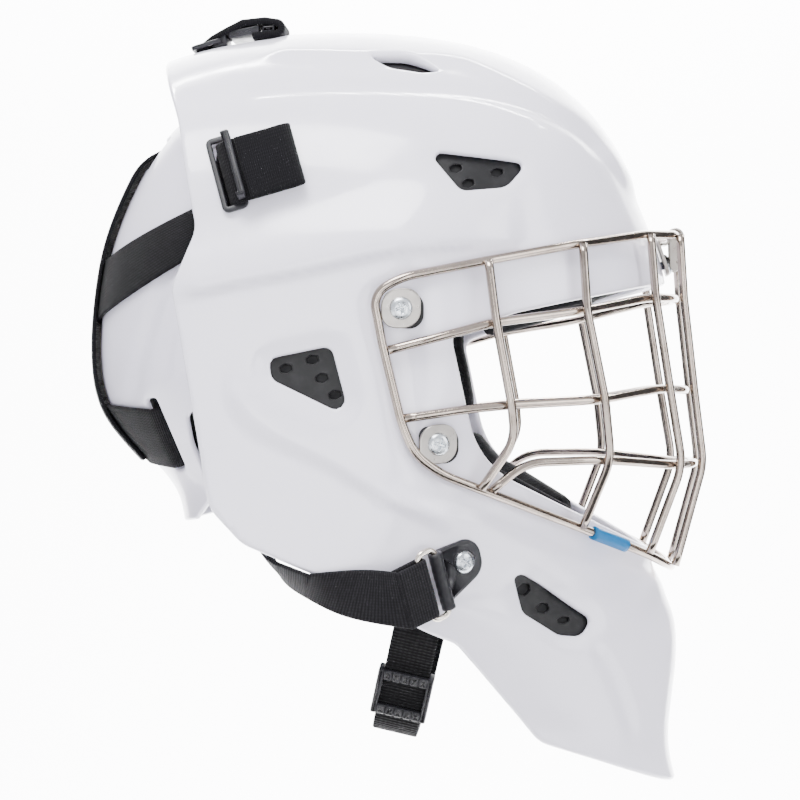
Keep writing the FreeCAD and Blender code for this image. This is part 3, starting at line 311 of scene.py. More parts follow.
def chinward(x, z):
    """How far a point of the side view lies towards the chin."""
    return x * 0.8 - z * 0.6


def shell_width(x, z):
    """Half the shell's width before the rounding towards the middle line."""
    step = SHOULDER_STEP * smooth((63.2 + 0.2 * x + SHOULDER_RISE - z) / SHOULDER_RISE)
    width = SHELL_WIDTHS(chinward(x, z)) + step * (1 - smooth(x / 60.0))
    return width - SEAT_DEPTH * smooth(inside_distance(SEAT, x, z) / SEAT_SLOPE)


shell_form = Moulding(SHELL_CENTRE, SHELL_LINE, lambda x, z: SHELL_DEPTHS(chinward(x, z)), shell_width,
                      SHELL_HUB)

PLATE_CENTRE, PLATE_DEPTH, PLATE_HUB = (-12, 38), 84.0, 20.0
PLATE_LINE = [
    (-55, 146), (-76, 139), (-98.5, 126), (-110.5, 112), (-121.2, 92.5), (-130, 69.5), (-134.4, 45),
    (-135.6, 18), (-130.8, -4), (-118, -20.5), (-109, -30.5), (-101, -41.5), (-97.8, -54), (-97.5, -76),
    (-97.5, -98), (-97.5, -125),
]
PLATE_WIDTHS = natural_spline([-90, -40, 20, 80, 110, 150], [70, 80, 86, 86, 83, 70])
plate_form = Moulding(PLATE_CENTRE, PLATE_LINE, lambda x, z: np.full(np.shape(x), PLATE_DEPTH),
                      lambda x, z: PLATE_WIDTHS(z), PLATE_HUB)


# ---------------------------------------------------------------- mesh making
def add_mesh(name, points, faces, material, body, stands_for=(), uv=None):
    """A mesh piece in the row frame, from points in millimetres. uv is one (u, v) per point."""
    mesh = bpy.data.meshes.new(name)
    mesh.from_pydata((np.asarray(points) * MM).tolist(), [], [list(map(int, f)) for f in faces])
    mesh.validate()
    mesh.shade_smooth()
    if uv is not None:
        layer = mesh.uv_layers.new(name="run")
        corner = np.zeros(len(mesh.loops), np.int32)
        mesh.loops.foreach_get("vertex_index", corner)
        layer.data.foreach_set("uv", np.asarray(uv, np.float32)[corner].ravel())
    mesh.materials.append(material)
    made = bpy.data.objects.new(name, mesh)
    bpy.context.scene.collection.objects.link(made)
    if body is not None:
        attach(made, body)
    if stands_for:
        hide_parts(*stands_for)
    return made


def mirrored(points):
    """The same points on the other side."""
    return np.asarray(points) * np.array([1, -1, 1])


def reversed_faces(faces):
    """Faces wound the other way, for a mirrored piece."""
    return [tuple(reversed(tuple(f))) for f in faces]


def add_pair(name, points, faces, finish, body, node_name):
    """A piece of the right side and its mirror image on the left."""
    add_mesh(f"{name}_right", points, faces, finish, body, [f"{node_name}_right"])
    add_mesh(f"{name}_left", mirrored(points), reversed_faces(faces), finish, body, [f"{node_name}_left"])


def join(parts):
    """Several (points, faces) or (points, faces, uv) as one."""
    points, faces, uvs, base = [], [], [], 0
    for part in parts:
        points.append(np.asarray(part[0]))
        faces += [tuple(i + base for i in f) for f in part[1]]
        uvs.append(part[2] if len(part) > 2 else np.zeros((len(part[0]), 2)))
        base += len(part[0])
    return np.concatenate(points), faces, np.concatenate(uvs)


def skin(loops, ring=False):
    """Faces over loops of points: each loop is closed, and one loop is joined to the next. With ring, the
    last is joined to the first; otherwise both are closed with a fan round a middle point."""
    loops = np.asarray(loops, float)
    rows, columns = loops.shape[:2]
    points = loops.reshape(-1, 3)
    faces = []
    for i in range(rows if ring else rows - 1):
        k = (i + 1) % rows
        for j in range(columns):
            m = (j + 1) % columns
            faces.append((i * columns + j, i * columns + m, k * columns + m, k * columns + j))
    if not ring:
        first, last = len(points), len(points) + 1
        points = np.concatenate([points, [loops[0].mean(axis=0)], [loops[-1].mean(axis=0)]])
        for j in range(columns):
            m = (j + 1) % columns
            faces.append((first, m, j))
            faces.append((last, (rows - 1) * columns + j, (rows - 1) * columns + m))
    return points, faces


def tube(path, radius, sides=16, ring=False):
    """A round rod along a path; ring closes it."""
    path = np.asarray(path, float)
    if ring:
        way = unit(np.roll(path, -1, axis=0) - np.roll(path, 1, axis=0))
    else:
        way = unit(np.gradient(path, axis=0))
    side = unit(np.cross(way[0], [0.3, 0.2, 0.93]))
    loops = []
    angles = np.linspace(0, 2 * math.pi, sides, endpoint=False)
    for at, ahead in zip(path, way):
        side = unit(side - ahead * np.dot(side, ahead))
        up = np.cross(ahead, side)
        loops.append(at + radius * (np.cos(angles)[:, None] * side + np.sin(angles)[:, None] * up))
    return skin(loops, ring)


EDGE_STEPS = 4  # points round each edge of a strap


def ribbon(rows, thickness):
    """Flat webbing whose middle surface goes through a grid of rows of points, with round edges. Its uv runs
    across and along, in centimetres."""
    rows = np.asarray(rows, float)
    along = np.gradient(rows, axis=0)
    across = rows[:, -1] - rows[:, 0]
    normal = unit(np.cross(along, across[:, None, :]))
    half = thickness / 2
    side = unit(across)
    top, bottom = rows + normal * half, rows - normal * half
    loops, angles = [], np.linspace(0, math.pi, EDGE_STEPS + 2)[1:-1]
    for i in range(len(rows)):
        far = [rows[i, -1] + half * (np.cos(t) * normal[i, -1] + np.sin(t) * side[i]) for t in angles]
        near = [rows[i, 0] + half * (-np.cos(t) * normal[i, 0] - np.sin(t) * side[i]) for t in angles]
        loops.append(np.concatenate([top[i], far, bottom[i][::-1], near]))
    points, faces = skin(loops)
    columns = rows.shape[1]
    run = run_along(rows[:, columns // 2])
    width = np.linalg.norm(across, axis=1)
    share = np.linspace(0, 1, columns)
    uv = []
    for i in range(len(rows)):
        line = np.concatenate([share, np.full(EDGE_STEPS, 1.0), share[::-1], np.full(EDGE_STEPS, 0.0)])
        uv.append(np.stack([line * width[i] / 10, np.full(len(line), run[i] / 10)], axis=1))
    uv = np.concatenate(uv + [[[0.5, 0.0]], [[0.5, run[-1] / 10]]])
    return points, faces, uv


STRAP_COLUMNS = 13  # points across a strap


def dense_rows(rows, step):
    """The smooth surface through a few rows of three points, as many finer rows at most step apart."""
    rows = np.asarray(rows, float)
    run = run_along(rows[:, 1])
    at = np.linspace(0, run[-1], max(6, math.ceil(run[-1] / step)))
    lengthways = np.stack([natural_spline(run, rows[:, j])(at) for j in range(rows.shape[1])], axis=1)
    places = np.linspace(0, 1, rows.shape[1])
    made = []
    for row in lengthways:
        made.append(natural_spline(places, row)(np.linspace(0, 1, STRAP_COLUMNS)))
    return np.array(made)


def flat_rows(path, across, width):
    """Rows for webbing that follows a path in a plane square to across."""
    shares = np.linspace(-0.5, 0.5, STRAP_COLUMNS)[None, :, None]
    return path[:, None, :] + np.asarray(across)[None, None, :] * width * shares


def placed(points, site):
    """Local points (ahead, up, outwards) put at a site."""
    origin, axes = site
    return origin + np.asarray(points, float) @ axes


def slab(outline, low, high, bevel):
    """A flat plate with a rounded outline, its edges bevelled on both faces."""
    outline = np.asarray(outline, float)
    tangent = unit(np.roll(outline, -1, axis=0) - np.roll(outline, 1, axis=0))
    outwards = np.stack([tangent[:, 1], -tangent[:, 0]], axis=1)
    area = np.sum(outline[:, 0] * np.roll(outline[:, 1], -1) - np.roll(outline[:, 0], -1) * outline[:, 1])
    if area < 0:
        outwards = -outwards
    steps = [(low, bevel), (low + bevel * 0.3, bevel * 0.3), (low + bevel, 0.0), (high - bevel, 0.0),
             (high - bevel * 0.3, bevel * 0.3), (high, bevel), (high, bevel * 2.0)]
    loops = []
    for height, inset in steps:
        ring = outline - outwards * inset
        loops.append(np.column_stack([ring, np.full(len(ring), height)]))
    points, faces = skin(loops)
    return points, (reversed_faces(faces) if area < 0 else faces)


def extruded(outline, right, left, bevel):
    """A block whose side view is the outline, from y = right to y = left."""
    points, faces = slab(outline, -left, -right, bevel)
    return points[:, [0, 2, 1]] * np.array([1, -1, 1]), faces


def cut_grid(along, across, value, rows, columns):
    """The cells of a grid where value is over 0, cut where it reaches 0: (along, across, faces)."""
    index = np.arange(rows * columns).reshape(rows, columns)
    cells = np.stack([index[:-1, :-1], index[:-1, 1:], index[1:, 1:], index[1:, :-1]], axis=-1).reshape(-1, 4)
    kept = (value > 0)[cells].sum(axis=1)
    faces = [tuple(cell) for cell in cells[kept == 4]]
    new_along, new_across, on_edge = [], [], {}

    def crossing(i, j):
        key = (min(i, j), max(i, j))
        if key not in on_edge:
            share = value[key[0]] / (value[key[0]] - value[key[1]])
            new_along.append(along[key[0]] + share * (along[key[1]] - along[key[0]]))
            new_across.append(across[key[0]] + share * (across[key[1]] - across[key[0]]))
            on_edge[key] = rows * columns + len(new_along) - 1
        return on_edge[key]

    for cell in cells[(kept > 0) & (kept < 4)]:
        face = []
        for i, j in zip(cell, np.roll(cell, -1)):
            if value[i] > 0:
                face.append(int(i))
            if (value[i] > 0) != (value[j] > 0):
                face.append(crossing(int(i), int(j)))
        if len(face) > 2:
            faces.append(tuple(face))
    used = sorted({i for face in faces for i in face})
    lookup = {old: new for new, old in enumerate(used)}
    faces = [tuple(lookup[i] for i in face) for face in faces]
    return np.concatenate([along, new_along])[used], np.concatenate([across, new_across])[used], faces


def thickened(outer, normal, depth, faces, rim):
    """A sheet with that depth behind its outer face, closed by a round rim: (points, faces)."""
    inner = outer - normal * depth[:, None]
    count = len(outer)
    points = [outer, inner]
    directed = {(f[k], f[(k + 1) % len(f)]) for f in faces for k in range(len(f))}
    border = [(i, j) for i, j in directed if (j, i) not in directed]
    away = {}
    for i, j in border:
        edge = unit(outer[j] - outer[i])
        for k in (i, j):
            away[k] = away.get(k, 0) + np.cross(edge, normal[k])
    order = {k: n for n, k in enumerate(away)}
    keys = np.array(list(away), int)
    out = unit(np.array(list(away.values())))
    steps = np.linspace(0, math.pi, 7)[1:-1]
    for t in steps:
        half = depth[keys, None] / 2
        points.append(outer[keys] + out * rim * math.sin(t) - normal[keys] * half * (1 - math.cos(t)))
    made = faces + [tuple(i + count for i in reversed(f)) for f in faces]
    for i, j in border:
        a, b = i, j
        for k in range(len(steps)):
            c, d = 2 * count + k * len(keys) + order[i], 2 * count + k * len(keys) + order[j]
            made.append((b, a, c, d))
            a, b = c, d
        made.append((b, a, i + count, j + count))
    return np.concatenate(points), made


def patch(form, inside, thickness, rim, lift=0.0, rows=80, columns=80, span=(-1.0, 1.0), run=(0.0, 1.0),
          relief=None):
    """A piece cut from a moulded surface. inside(points) is the distance inside its outline. Its outer face
    is lifted by lift plus relief(points), it is thickness(points, inside) thick, and its rim is round."""
    lines, places = np.linspace(run[0], run[1], rows) * form.length, np.linspace(span[0], span[1], columns)
    along, across = (grid.ravel() for grid in np.meshgrid(lines, places, indexing="ij"))
    value = inside(form.point(along, across)) - rim
    along, across, faces = cut_grid(along, across, value, rows, columns)
    at, normal = form.surface(along, across)
    first = faces[len(faces) // 2]
    turn = np.cross(at[first[1]] - at[first[0]], at[first[2]] - at[first[0]])
    if np.dot(turn, normal[first[0]]) < 0:
        faces = reversed_faces(faces)
    depth = np.broadcast_to(thickness(at, inside(at)), len(at))
    raised = lift if relief is None else lift + relief(at)
    outer = at + normal * np.broadcast_to(raised, len(at))[:, None]
    return thickened(outer, normal, depth, faces, rim)


# ---------------------------------------------------------------- materials
def material(name):
    """A new node material: (material, its node tree, its principled shader)."""
    made = bpy.data.materials.new(name)
    made.use_nodes = True
    tree = made.node_tree
    return made, tree, tree.nodes["Principled BSDF"]


def node(tree, kind, inputs=None, **settings):
    """A node with its settings, and its inputs given as values or as links from other sockets."""
    made = tree.nodes.new(kind)
    for key, value in settings.items():
        setattr(made, key, value)
    for key, value in (inputs or {}).items():
        if isinstance(value, bpy.types.NodeSocket):
            tree.links.new(value, made.inputs[key])
        else:
            made.inputs[key].default_value = value
    return made


def place(tree):
    """The point on the piece, in metres."""
    return node(tree, "ShaderNodeTexCoord").outputs["Object"]


def noise(tree, scale, detail):
    """Noise from 0 to 1 with that many cells to the metre."""
    inputs = {"Vector": place(tree), "Scale": scale, "Detail": detail}
    return node(tree, "ShaderNodeTexNoise", inputs).outputs["Fac"]


def ranged(tree, value, low, high, start=0.3, end=0.7):
    """The value's stretch from start to end turned into low to high."""
    inputs = {"Value": value, "From Min": start, "From Max": end, "To Min": low, "To Max": high}
    return node(tree, "ShaderNodeMapRange", inputs).outputs["Result"]


def mixed(tree, share, first, second):
    """The colour between two colours."""
    made = node(tree, "ShaderNodeMix", data_type="RGBA")
    tree.links.new(share, made.inputs["Factor"])
    for index, colour in ((6, first), (7, second)):
        if isinstance(colour, bpy.types.NodeSocket):
            tree.links.new(colour, made.inputs[index])
        else:
            made.inputs[index].default_value = (*colour, 1)
    return made.outputs[2]


def maths(tree, operation, first, second=0.5, third=0.5):
    """One step of arithmetic."""
    made = node(tree, "ShaderNodeMath", operation=operation)
    for index, value in enumerate((first, second, third)):
        if isinstance(value, bpy.types.NodeSocket):
            tree.links.new(value, made.inputs[index])
        else:
            made.inputs[index].default_value = value
    return made.outputs[0]


def bumped(tree, shader, height, depth, strength=1.0):
    """Gives the shader a bump of that depth in metres."""
    made = node(tree, "ShaderNodeBump", {"Height": height, "Distance": depth, "Strength": strength})
    tree.links.new(made.outputs["Normal"], shader.inputs["Normal"])


def gloss_white(name, colour, shade, roughness):
    """Moulded plastic under a clear coat, with a faint ripple and a few finer scuffs."""
    made, tree, shader = material(name)
    cloud = ranged(tree, noise(tree, 9.0, 4.0), 0.0, 1.0)
    tree.links.new(mixed(tree, cloud, colour, shade), shader.inputs["Base Color"])
    scuff = ranged(tree, noise(tree, 160.0, 6.0), roughness, roughness + 0.12, 0.45, 0.75)
    tree.links.new(scuff, shader.inputs["Roughness"])
    shader.inputs["IOR"].default_value = 1.5
    shader.inputs["Coat Weight"].default_value = 0.35
    shader.inputs["Coat Roughness"].default_value = 0.08
    broad = noise(tree, 55.0, 2.0)
    fine = maths(tree, "MULTIPLY", noise(tree, 900.0, 2.0), 0.05)
    ripple = maths(tree, "ADD", broad, fine)
    bumped(tree, shader, ripple, 0.00012)
    return made


def metal(name, colour, shade, roughness, grain=700.0):
    """Plated or drawn metal, with a little tarnish and a drawn grain."""
    made, tree, shader = material(name)
    tarnish = ranged(tree, noise(tree, 70.0, 5.0), 0.0, 1.0, 0.4, 0.75)
    tree.links.new(mixed(tree, tarnish, colour, shade), shader.inputs["Base Color"])
    shader.inputs["Metallic"].default_value = 1.0
    drawn = ranged(tree, noise(tree, grain, 4.0), roughness, roughness + 0.14)
    tree.links.new(drawn, shader.inputs["Roughness"])
    bumped(tree, shader, noise(tree, grain * 1.6, 3.0), 0.00003, 0.6)
    return made


def moulded(name, colour, roughness, grain=0.00006):
    """Moulded plastic or rubber with a fine spark-eroded grain and paler rubbed spots."""
    made, tree, shader = material(name)
    paler = tuple(min(1.0, c * 1.7 + 0.004) for c in colour)
    rubbed = ranged(tree, noise(tree, 120.0, 5.0), 0.0, 1.0, 0.5, 0.8)
    tree.links.new(mixed(tree, rubbed, colour, paler), shader.inputs["Base Color"])
    matt = ranged(tree, noise(tree, 300.0, 4.0), roughness - 0.06, roughness + 0.1)
    tree.links.new(matt, shader.inputs["Roughness"])
    shader.inputs["Specular IOR Level"].default_value = 0.32
    bumped(tree, shader, noise(tree, 2600.0, 3.0), grain)
    return made


def woven(name, colour, across_ribs, along_ribs, depth, roughness=0.85):
    """Woven elastic or webbing, with so many ribs to the centimetre across and along, dusty threads, and
    painted shade in the hollows between the ribs.
    """
    made, tree, shader = material(name)
    run = node(tree, "ShaderNodeUVMap", uv_map="run").outputs["UV"]
    parts = node(tree, "ShaderNodeSeparateXYZ", {"Vector": run})
    wobble = maths(tree, "MULTIPLY", noise(tree, 240.0, 2.0), 0.5)
    ribs = []
    for output, count in (("X", across_ribs), ("Y", along_ribs)):
        phase = maths(tree, "MULTIPLY_ADD", parts.outputs[output], count * 2 * math.pi, wobble)
        ribs.append(maths(tree, "MULTIPLY_ADD", maths(tree, "SINE", phase), 0.5, 0.5))
    cross = maths(tree, "MULTIPLY", ribs[0], ribs[1])
    height = maths(tree, "MULTIPLY_ADD", ribs[1], 0.55, maths(tree, "MULTIPLY", cross, 0.6))
    fuzz = maths(tree, "MULTIPLY_ADD", noise(tree, 3800.0, 2.0), 0.35, height)
    # painted shade: the darker colour, 0.45 of the strap's own, goes into the hollows between the ribs
    dark, dusty = tuple(c * 0.45 for c in colour), tuple(c * 1.7 + 0.002 for c in colour)
    worn = mixed(tree, ranged(tree, noise(tree, 45.0, 4.0), 0.0, 0.35, 0.4, 0.8), colour, dusty)
    # low rib height takes the painted shade, high rib height the strap's colour with its random dust
    threads = mixed(tree, ranged(tree, height, 0.0, 1.0, 0.1, 0.8), dark, worn)
    tree.links.new(threads, shader.inputs["Base Color"])
    shader.inputs["Roughness"].default_value = roughness
    shader.inputs["Sheen Weight"].default_value = 0.03
    shader.inputs["Sheen Roughness"].default_value = 0.5
    shader.inputs["Specular IOR Level"].default_value = 0.12
    bumped(tree, shader, fuzz, depth)
    return made


def lining(name, colour, paler):
    """Brushed lining cloth over foam: soft pile, with a fine knit under it."""
    made, tree, shader = material(name)
    pile = noise(tree, 1500.0, 5.0)
    knit = node(tree, "ShaderNodeTexVoronoi", {"Vector": place(tree), "Scale": 900.0}).outputs["Distance"]
    cloth = mixed(tree, ranged(tree, noise(tree, 60.0, 5.0), 0.0, 1.0), colour, paler)
    tree.links.new(cloth, shader.inputs["Base Color"])
    shader.inputs["Roughness"].default_value = 0.95
    shader.inputs["Sheen Weight"].default_value = 0.05
    shader.inputs["Specular IOR Level"].default_value = 0.1
    bumped(tree, shader, maths(tree, "MULTIPLY_ADD", knit, 0.7, pile), 0.00035)
    return made


shell_white = gloss_white("shell_white", (0.88, 0.86, 0.97), (0.85, 0.83, 0.945), 0.16)
plate_white = gloss_white("plate_white", (0.76, 0.74, 0.85), (0.72, 0.70, 0.81), 0.28)
cage_steel = metal("cage_steel", (0.42, 0.36, 0.315), (0.28, 0.235, 0.20), 0.10)
tab_steel = metal("tab_steel", (0.46, 0.435, 0.41), (0.30, 0.28, 0.26), 0.26, 420.0)
screw_steel = metal("screw_steel", (0.66, 0.70, 0.74), (0.50, 0.53, 0.57), 0.20)
ring_steel = metal("ring_steel", (0.76, 0.70, 0.62), (0.60, 0.54, 0.47), 0.16)
grille_black = moulded("grille_black", (0.006, 0.006, 0.007), 0.46)
# painted shade: the material of the solid black sheets behind the vent grilles, which stand in for the shade
# inside the shell
vent_shade_black = moulded("vent_shade_black", (0.004, 0.004, 0.005), 0.7)
plastic_black = moulded("plastic_black", (0.014, 0.014, 0.017), 0.36)
rubber_black = moulded("rubber_black", (0.012, 0.012, 0.013), 0.62, 0.00010)
sleeve_blue = moulded("sleeve_blue", (0.0, 0.13, 0.34), 0.34)
elastic_black = woven("elastic_black", (0.006, 0.0057, 0.0075), 6.5, 11.0, 0.00022)
elastic_grained = woven("elastic_grained", (0.013, 0.0125, 0.015), 8.0, 8.0, 0.00016, 0.80)
webbing_black = woven("webbing_black", (0.009, 0.009, 0.010), 5.0, 7.0, 0.00030)
lining_charcoal = lining("lining_charcoal", (0.007, 0.007, 0.008), (0.014, 0.014, 0.016))


# ---------------------------------------------------------------- outlines in the side view: (x, z, radius)
SHELL_OUTLINE = rounded([
    (-107, 200, 0), (-107, 158, 0), (-91, 121, 60), (-80.2, 72, 14), (-89.6, 47, 7), (-73.6, -45, 15),
    (-60, -59.5, 16), (-21, -76, 80), (17, -97.5, 30), (29, -103, 10), (63.5, -147.5, 14), (90, -157.3, 60),
    (128, -172.3, 0), (170, -188, 0), (170, 200, 0),
])
EYE_PORT = rounded([(170, 63, 0), (55, 37.2, 30), (27.0, 28.0, 5), (38.8, -26.6, 38), (170, -95.6, 0)], 5.0)
BROW_VENT = [(16.5, 105.6, 2.5), (59, 101.2, 2.5), (50, 90.2, 8), (31, 88.2, 5)]
CHEEK_VENT = [(-49, 17.6, 3.5), (-23, 22.8, 4), (-15.2, -6.8, 4), (-47.8, 9, 5)]
CHIN_VENT = [(52, -71, 2.5), (86.6, -94.4, 4), (82.5, -102.3, 5), (72.5, -101, 6), (57.5, -90.5, 6)]
VENTS = {"brow_vent": BROW_VENT, "cheek_vent": CHEEK_VENT, "chin_vent": CHIN_VENT}
VENT_HOLES = {
    "brow_vent": [(29, 99.5), (47, 98), (34.5, 93)],
    "cheek_vent": [(-42, 13.5), (-31, 17.2), (-27, 9.5), (-21.5, 2.5)],
    "chin_vent": [(59, -81), (67, -88), (76, -94)],
}
CROWN_VENT = [(-11, 57.5, 1), (5, 54.5, 12), (21, 60, 1), (13, 64, 6), (0, 63.5, 6)]  # plan view
CROWN_SLOTS, CROWN_SLOT_Y = [-1, 6, 13], 59.5
SIDE_SLOT, SLOT_TILT = (-68.5, 94.5), (0.29, -0.957)
SLOT_HALF = 14.6
TOP_SLOT_X, TOP_SLOT_HALF = -91.0, 14.0
SLOT_GAP = 2.6
CAGE_SCREWS = [(6.1, 38.3), (20.3, -17.5)]
JAW_SCREW, ANCHOR_WAY = (30.2, -66.8), (0.97, 0.24)
CHIN_RIVET = (14.0, -86.0)
GRILLE_LAP, HOLE_ACROSS = 4.0, 5.4


def grown(corners, by):
    """The convex outline's corners moved outwards by about that much."""
    corners = np.array(corners, float)
    middle = corners[:, :2].mean(axis=0)
    away = corners[:, :2] - middle
    corners[:, :2] = middle + away * (1 + by * 1.3 / np.linalg.norm(away, axis=1, keepdims=True))
    return [tuple(corner) for corner in corners]


def hexagon(u, v):
    """A flattened six-sided hole."""
    made = []
    for k in range(6):
        side = HOLE_ACROSS / 2 * math.cos(math.pi * k / 3)
        up = HOLE_ACROSS / 2.7 * math.sin(math.pi * k / 3)
        made.append((u + side + up * 0.5, v + up - side * 0.15, 0.4))
    return rounded(made, 20.0)


def slot_outline():
    """The strap slot in the shell's side."""
    made = []
    for along, across in ((1, 1), (-1, 1), (-1, -1), (1, -1)):
        u = SIDE_SLOT[0] + SLOT_TILT[0] * SLOT_HALF * along - SLOT_TILT[1] * SLOT_GAP * across
        v = SIDE_SLOT[1] + SLOT_TILT[1] * SLOT_HALF * along + SLOT_TILT[0] * SLOT_GAP * across
        made.append((u, v, SLOT_GAP * 0.9))
    return rounded(made)


# ---------------------------------------------------------------- shell, backplate, vents and pads
def in_shell(p):
    """Distance inside the shell's outline and outside all its openings."""
    x, y, z = p[:, 0], p[:, 1], p[:, 2]
    value = np.minimum(inside_distance(SHELL_OUTLINE, x, z), -inside_distance(EYE_PORT, x, z))
    for corners in VENTS.values():
        value = np.minimum(value, -inside_distance(rounded(corners), x, z))
    value = np.minimum(value, -inside_distance(slot_outline(), x, z))
    crown = np.maximum(-inside_distance(rounded(CROWN_VENT), x, np.abs(y)), 100 - z)
    top_slot = np.maximum(np.abs(x - TOP_SLOT_X) - SLOT_GAP, np.abs(y) - TOP_SLOT_HALF)
    top_slot = np.maximum(top_slot, 120 - z)
    return np.minimum(value, np.minimum(crown, top_slot))


LEDGES = [  # line, height, width of the drop on its right, reach of the bulge on its left
    ([(-92, 44.5), (-60, 51.4), (-35, 56), (5.8, 64.4), (28.5, 66.4), (60, 68)], 2.6, 5.5, 24.0),
    ([(-64, 12), (-62, 4), (-57, -5), (-48, -12), (-23, -24), (5.7, -41), (19, -47), (30, -53)],
     2.0, 6.0, 16.0),
    ([(121, -92), (110, -79), (84, -72), (57, -61.5), (36, -51.5), (13, -45), (-4, -34)], 2.0, 7.0, 22.0),
    ([(-60, 152), (-23, 150), (12, 149), (32, 147), (42, 142.1), (58, 134.4), (70.3, 127), (82.3, 119.6),
      (98.5, 104), (108, 88)], 2.2, 5.0, 18.0),
]
GROOVES = [  # line, depth, half width
    ([(84, -101), (95, -119.5), (102, -138), (107, -156)], 1.2, 4.5),
    ([(-70, 131), (-39.5, 134), (-20, 134.4), (9.5, 134), (28.8, 133), (48.6, 129.6), (68, 123.7), (82, 117),
      (94.3, 104)], 1.7, 6.0),
]
DISHES = {"cheek_vent": (1.8, 9.0), "brow_vent": (0.8, 5.0), "chin_vent": (1.5, 7.0)}  # depth and width
RIM_GROOVE, RIM_GROOVE_HALF = 0.9, 7.0  # the shallow bed under the cage's rim


def shell_relief(p):
    """Height of the creases, ledges and dishes of the shell over its plain form."""
    x, z = p[:, 0], p[:, 2]
    height = np.zeros(len(p))
    for line, tall, drop, reach in LEDGES:
        side, fade = beside(curve(line), x, z)
        bulge, step = np.exp(-np.maximum(side, 0) / reach), 1 - smooth(-side / drop)
        height += tall * fade * np.where(side > 0, bulge, step)
    for line, deep, half in GROOVES:
        side, fade = beside(curve(line), x, z)
        height -= deep * fade * bump_at(side, half)
    for name, (deep, wide) in DISHES.items():
        height -= deep * (1 - smooth(-inside_distance(rounded(VENTS[name]), x, z) / wide))
    side, fade = beside(curve(RIM_SIDE[1:-1]), x, z)
    return height - RIM_GROOVE * fade * bump_at(side, RIM_GROOVE_HALF)


def make_shell():
    """The moulded outer shell."""
    points, faces = patch(shell_form, in_shell, lambda p, g: WALL + shell_relief(p), 1.5,
                          rows=270, columns=224, relief=shell_relief)
    add_mesh("shell_skin", points, faces, shell_white, "shell", ["mask_shell"])


PLATE_OUTLINE = rounded([
    (-200, 127, 0), (-94, 127, 6), (-80, 118, 8), (-80, -4.5, 3), (-89, -4.5, 4), (-87.5, -19, 12),
    (-83, -31, 10), (-77.5, -43.5, 3), (-76, -50, 3), (-110, -57.5, 3), (-200, -57.5, 0),
])
LINER_OUTLINE = rounded([
    (-200, 106, 0), (-94, 106, 14), (-104, 60, 30), (-112, -10, 20), (-112, -24, 8), (-200, -24, 0),
])
PLATE_WALL, FOAM_DEPTH, FOAM_GAP = 2.6, 9.0, 0.4
LOWER_SLOT = rounded([(-108.0, 0.5, 1.4), (-103.4, 0.5, 1.4), (-92.6, -30.5, 1.4), (-97.2, -30.5, 1.4)])
TOP_SLOT_SPAN, TOP_SLOT_HEIGHTS = 0.165, (104.2, 117.0)
PLATE_GROOVES = [  # line, depth, half width
    ([(-86, 72), (-96, 55), (-105, 33), (-112, 12), (-116, -4)], 1.6, 6.0),
    ([(-88, 50), (-93, 36), (-97, 20), (-99, 4)], 1.1, 5.0),
]


def plate_relief(p):
    """Height of the plate's grooves over its plain form."""
    height = np.zeros(len(p))
    for line, deep, half in PLATE_GROOVES:
        side, fade = beside(curve(line), p[:, 0], p[:, 2])
        height -= deep * fade * bump_at(side, half)
    return height


def make_backplate():
    """The rear plate, with the slots that its straps pass through."""
    top_y = plate_form.at_height(TOP_SLOT_SPAN, TOP_SLOT_HEIGHTS[0], 0)[1]

    def in_plate(p):
        x, y, z = p[:, 0], np.abs(p[:, 1]), p[:, 2]
        side_slot = np.maximum(-inside_distance(LOWER_SLOT, x, z), 20 - y)
        top_slot = np.maximum(y - top_y, np.maximum(TOP_SLOT_HEIGHTS[0] - z, z - TOP_SLOT_HEIGHTS[1]))
        return np.minimum(inside_distance(PLATE_OUTLINE, x, z), np.minimum(side_slot, top_slot))

    points, faces = patch(plate_form, in_plate, lambda p, g: PLATE_WALL + plate_relief(p), 1.2,
                          rows=190, columns=150, run=(0.0, 0.8), relief=plate_relief)
    add_mesh("backplate_skin", points, faces, plate_white, "backplate", ["backplate"])


def make_backplate_foam():
    """The pillow of foam inside the rear plate."""
    def pillow(p, g):
        return FOAM_DEPTH * (0.35 + 0.65 * np.sqrt(1 - (1 - np.clip(g / FOAM_DEPTH, 0, 1)) ** 2))

    points, faces = patch(plate_form, lambda p: inside_distance(LINER_OUTLINE, p[:, 0], p[:, 2]), pillow, 1.4,
                          lift=-PLATE_WALL - FOAM_GAP, rows=90, columns=80, run=(0.0, 0.8))
    foam = add_mesh("backplate_foam", points, faces, lining_charcoal, "backplate", ["backplate_liner"])


# the solid black sheet behind each grille, painted shade for the vent holes, sits this much deeper than the
# grille
COVER_LIFT, VENT_SHADE_DROP = -WALL - 0.35, 1.6


def make_vents():
    """The perforated black covers behind the vents, each with a solid black sheet behind it as painted shade
    in its holes.
    """
    for name, corners in VENTS.items():
        outline = rounded(grown(corners, GRILLE_LAP))
        holes = [hexagon(*at) for at in VENT_HOLES[name]]

        def in_grille(p, outline=outline, holes=holes):
            value = inside_distance(outline, p[:, 0], p[:, 2])
            for hole in holes:
                value = np.minimum(value, -inside_distance(hole, p[:, 0], p[:, 2]))
            return np.minimum(value, -10 - p[:, 1])

        def in_vent_shade(p, outline=outline):
            return np.minimum(inside_distance(outline, p[:, 0], p[:, 2]) - 1.0, -10 - p[:, 1])

        cover = patch(shell_form, in_grille, lambda p, g: 1.4, 0.4, COVER_LIFT, 620, 480, (-1.0, -0.12))
        # painted shade: a solid black sheet behind the grille, so that its holes look as dark as the shaded
        # inside of the shell
        vent_shade_sheet = patch(shell_form, in_vent_shade, lambda p, g: 0.4, 0.2, COVER_LIFT - VENT_SHADE_DROP, 260, 200,
                      (-1.0, -0.12))
        for (points, faces), title, finish in ((cover, "cover", grille_black), (vent_shade_sheet, "vent_shade_sheet", vent_shade_black)):
            add_pair(f"{name}_{title}", points, faces, finish, "shell", f"{name}_grille")


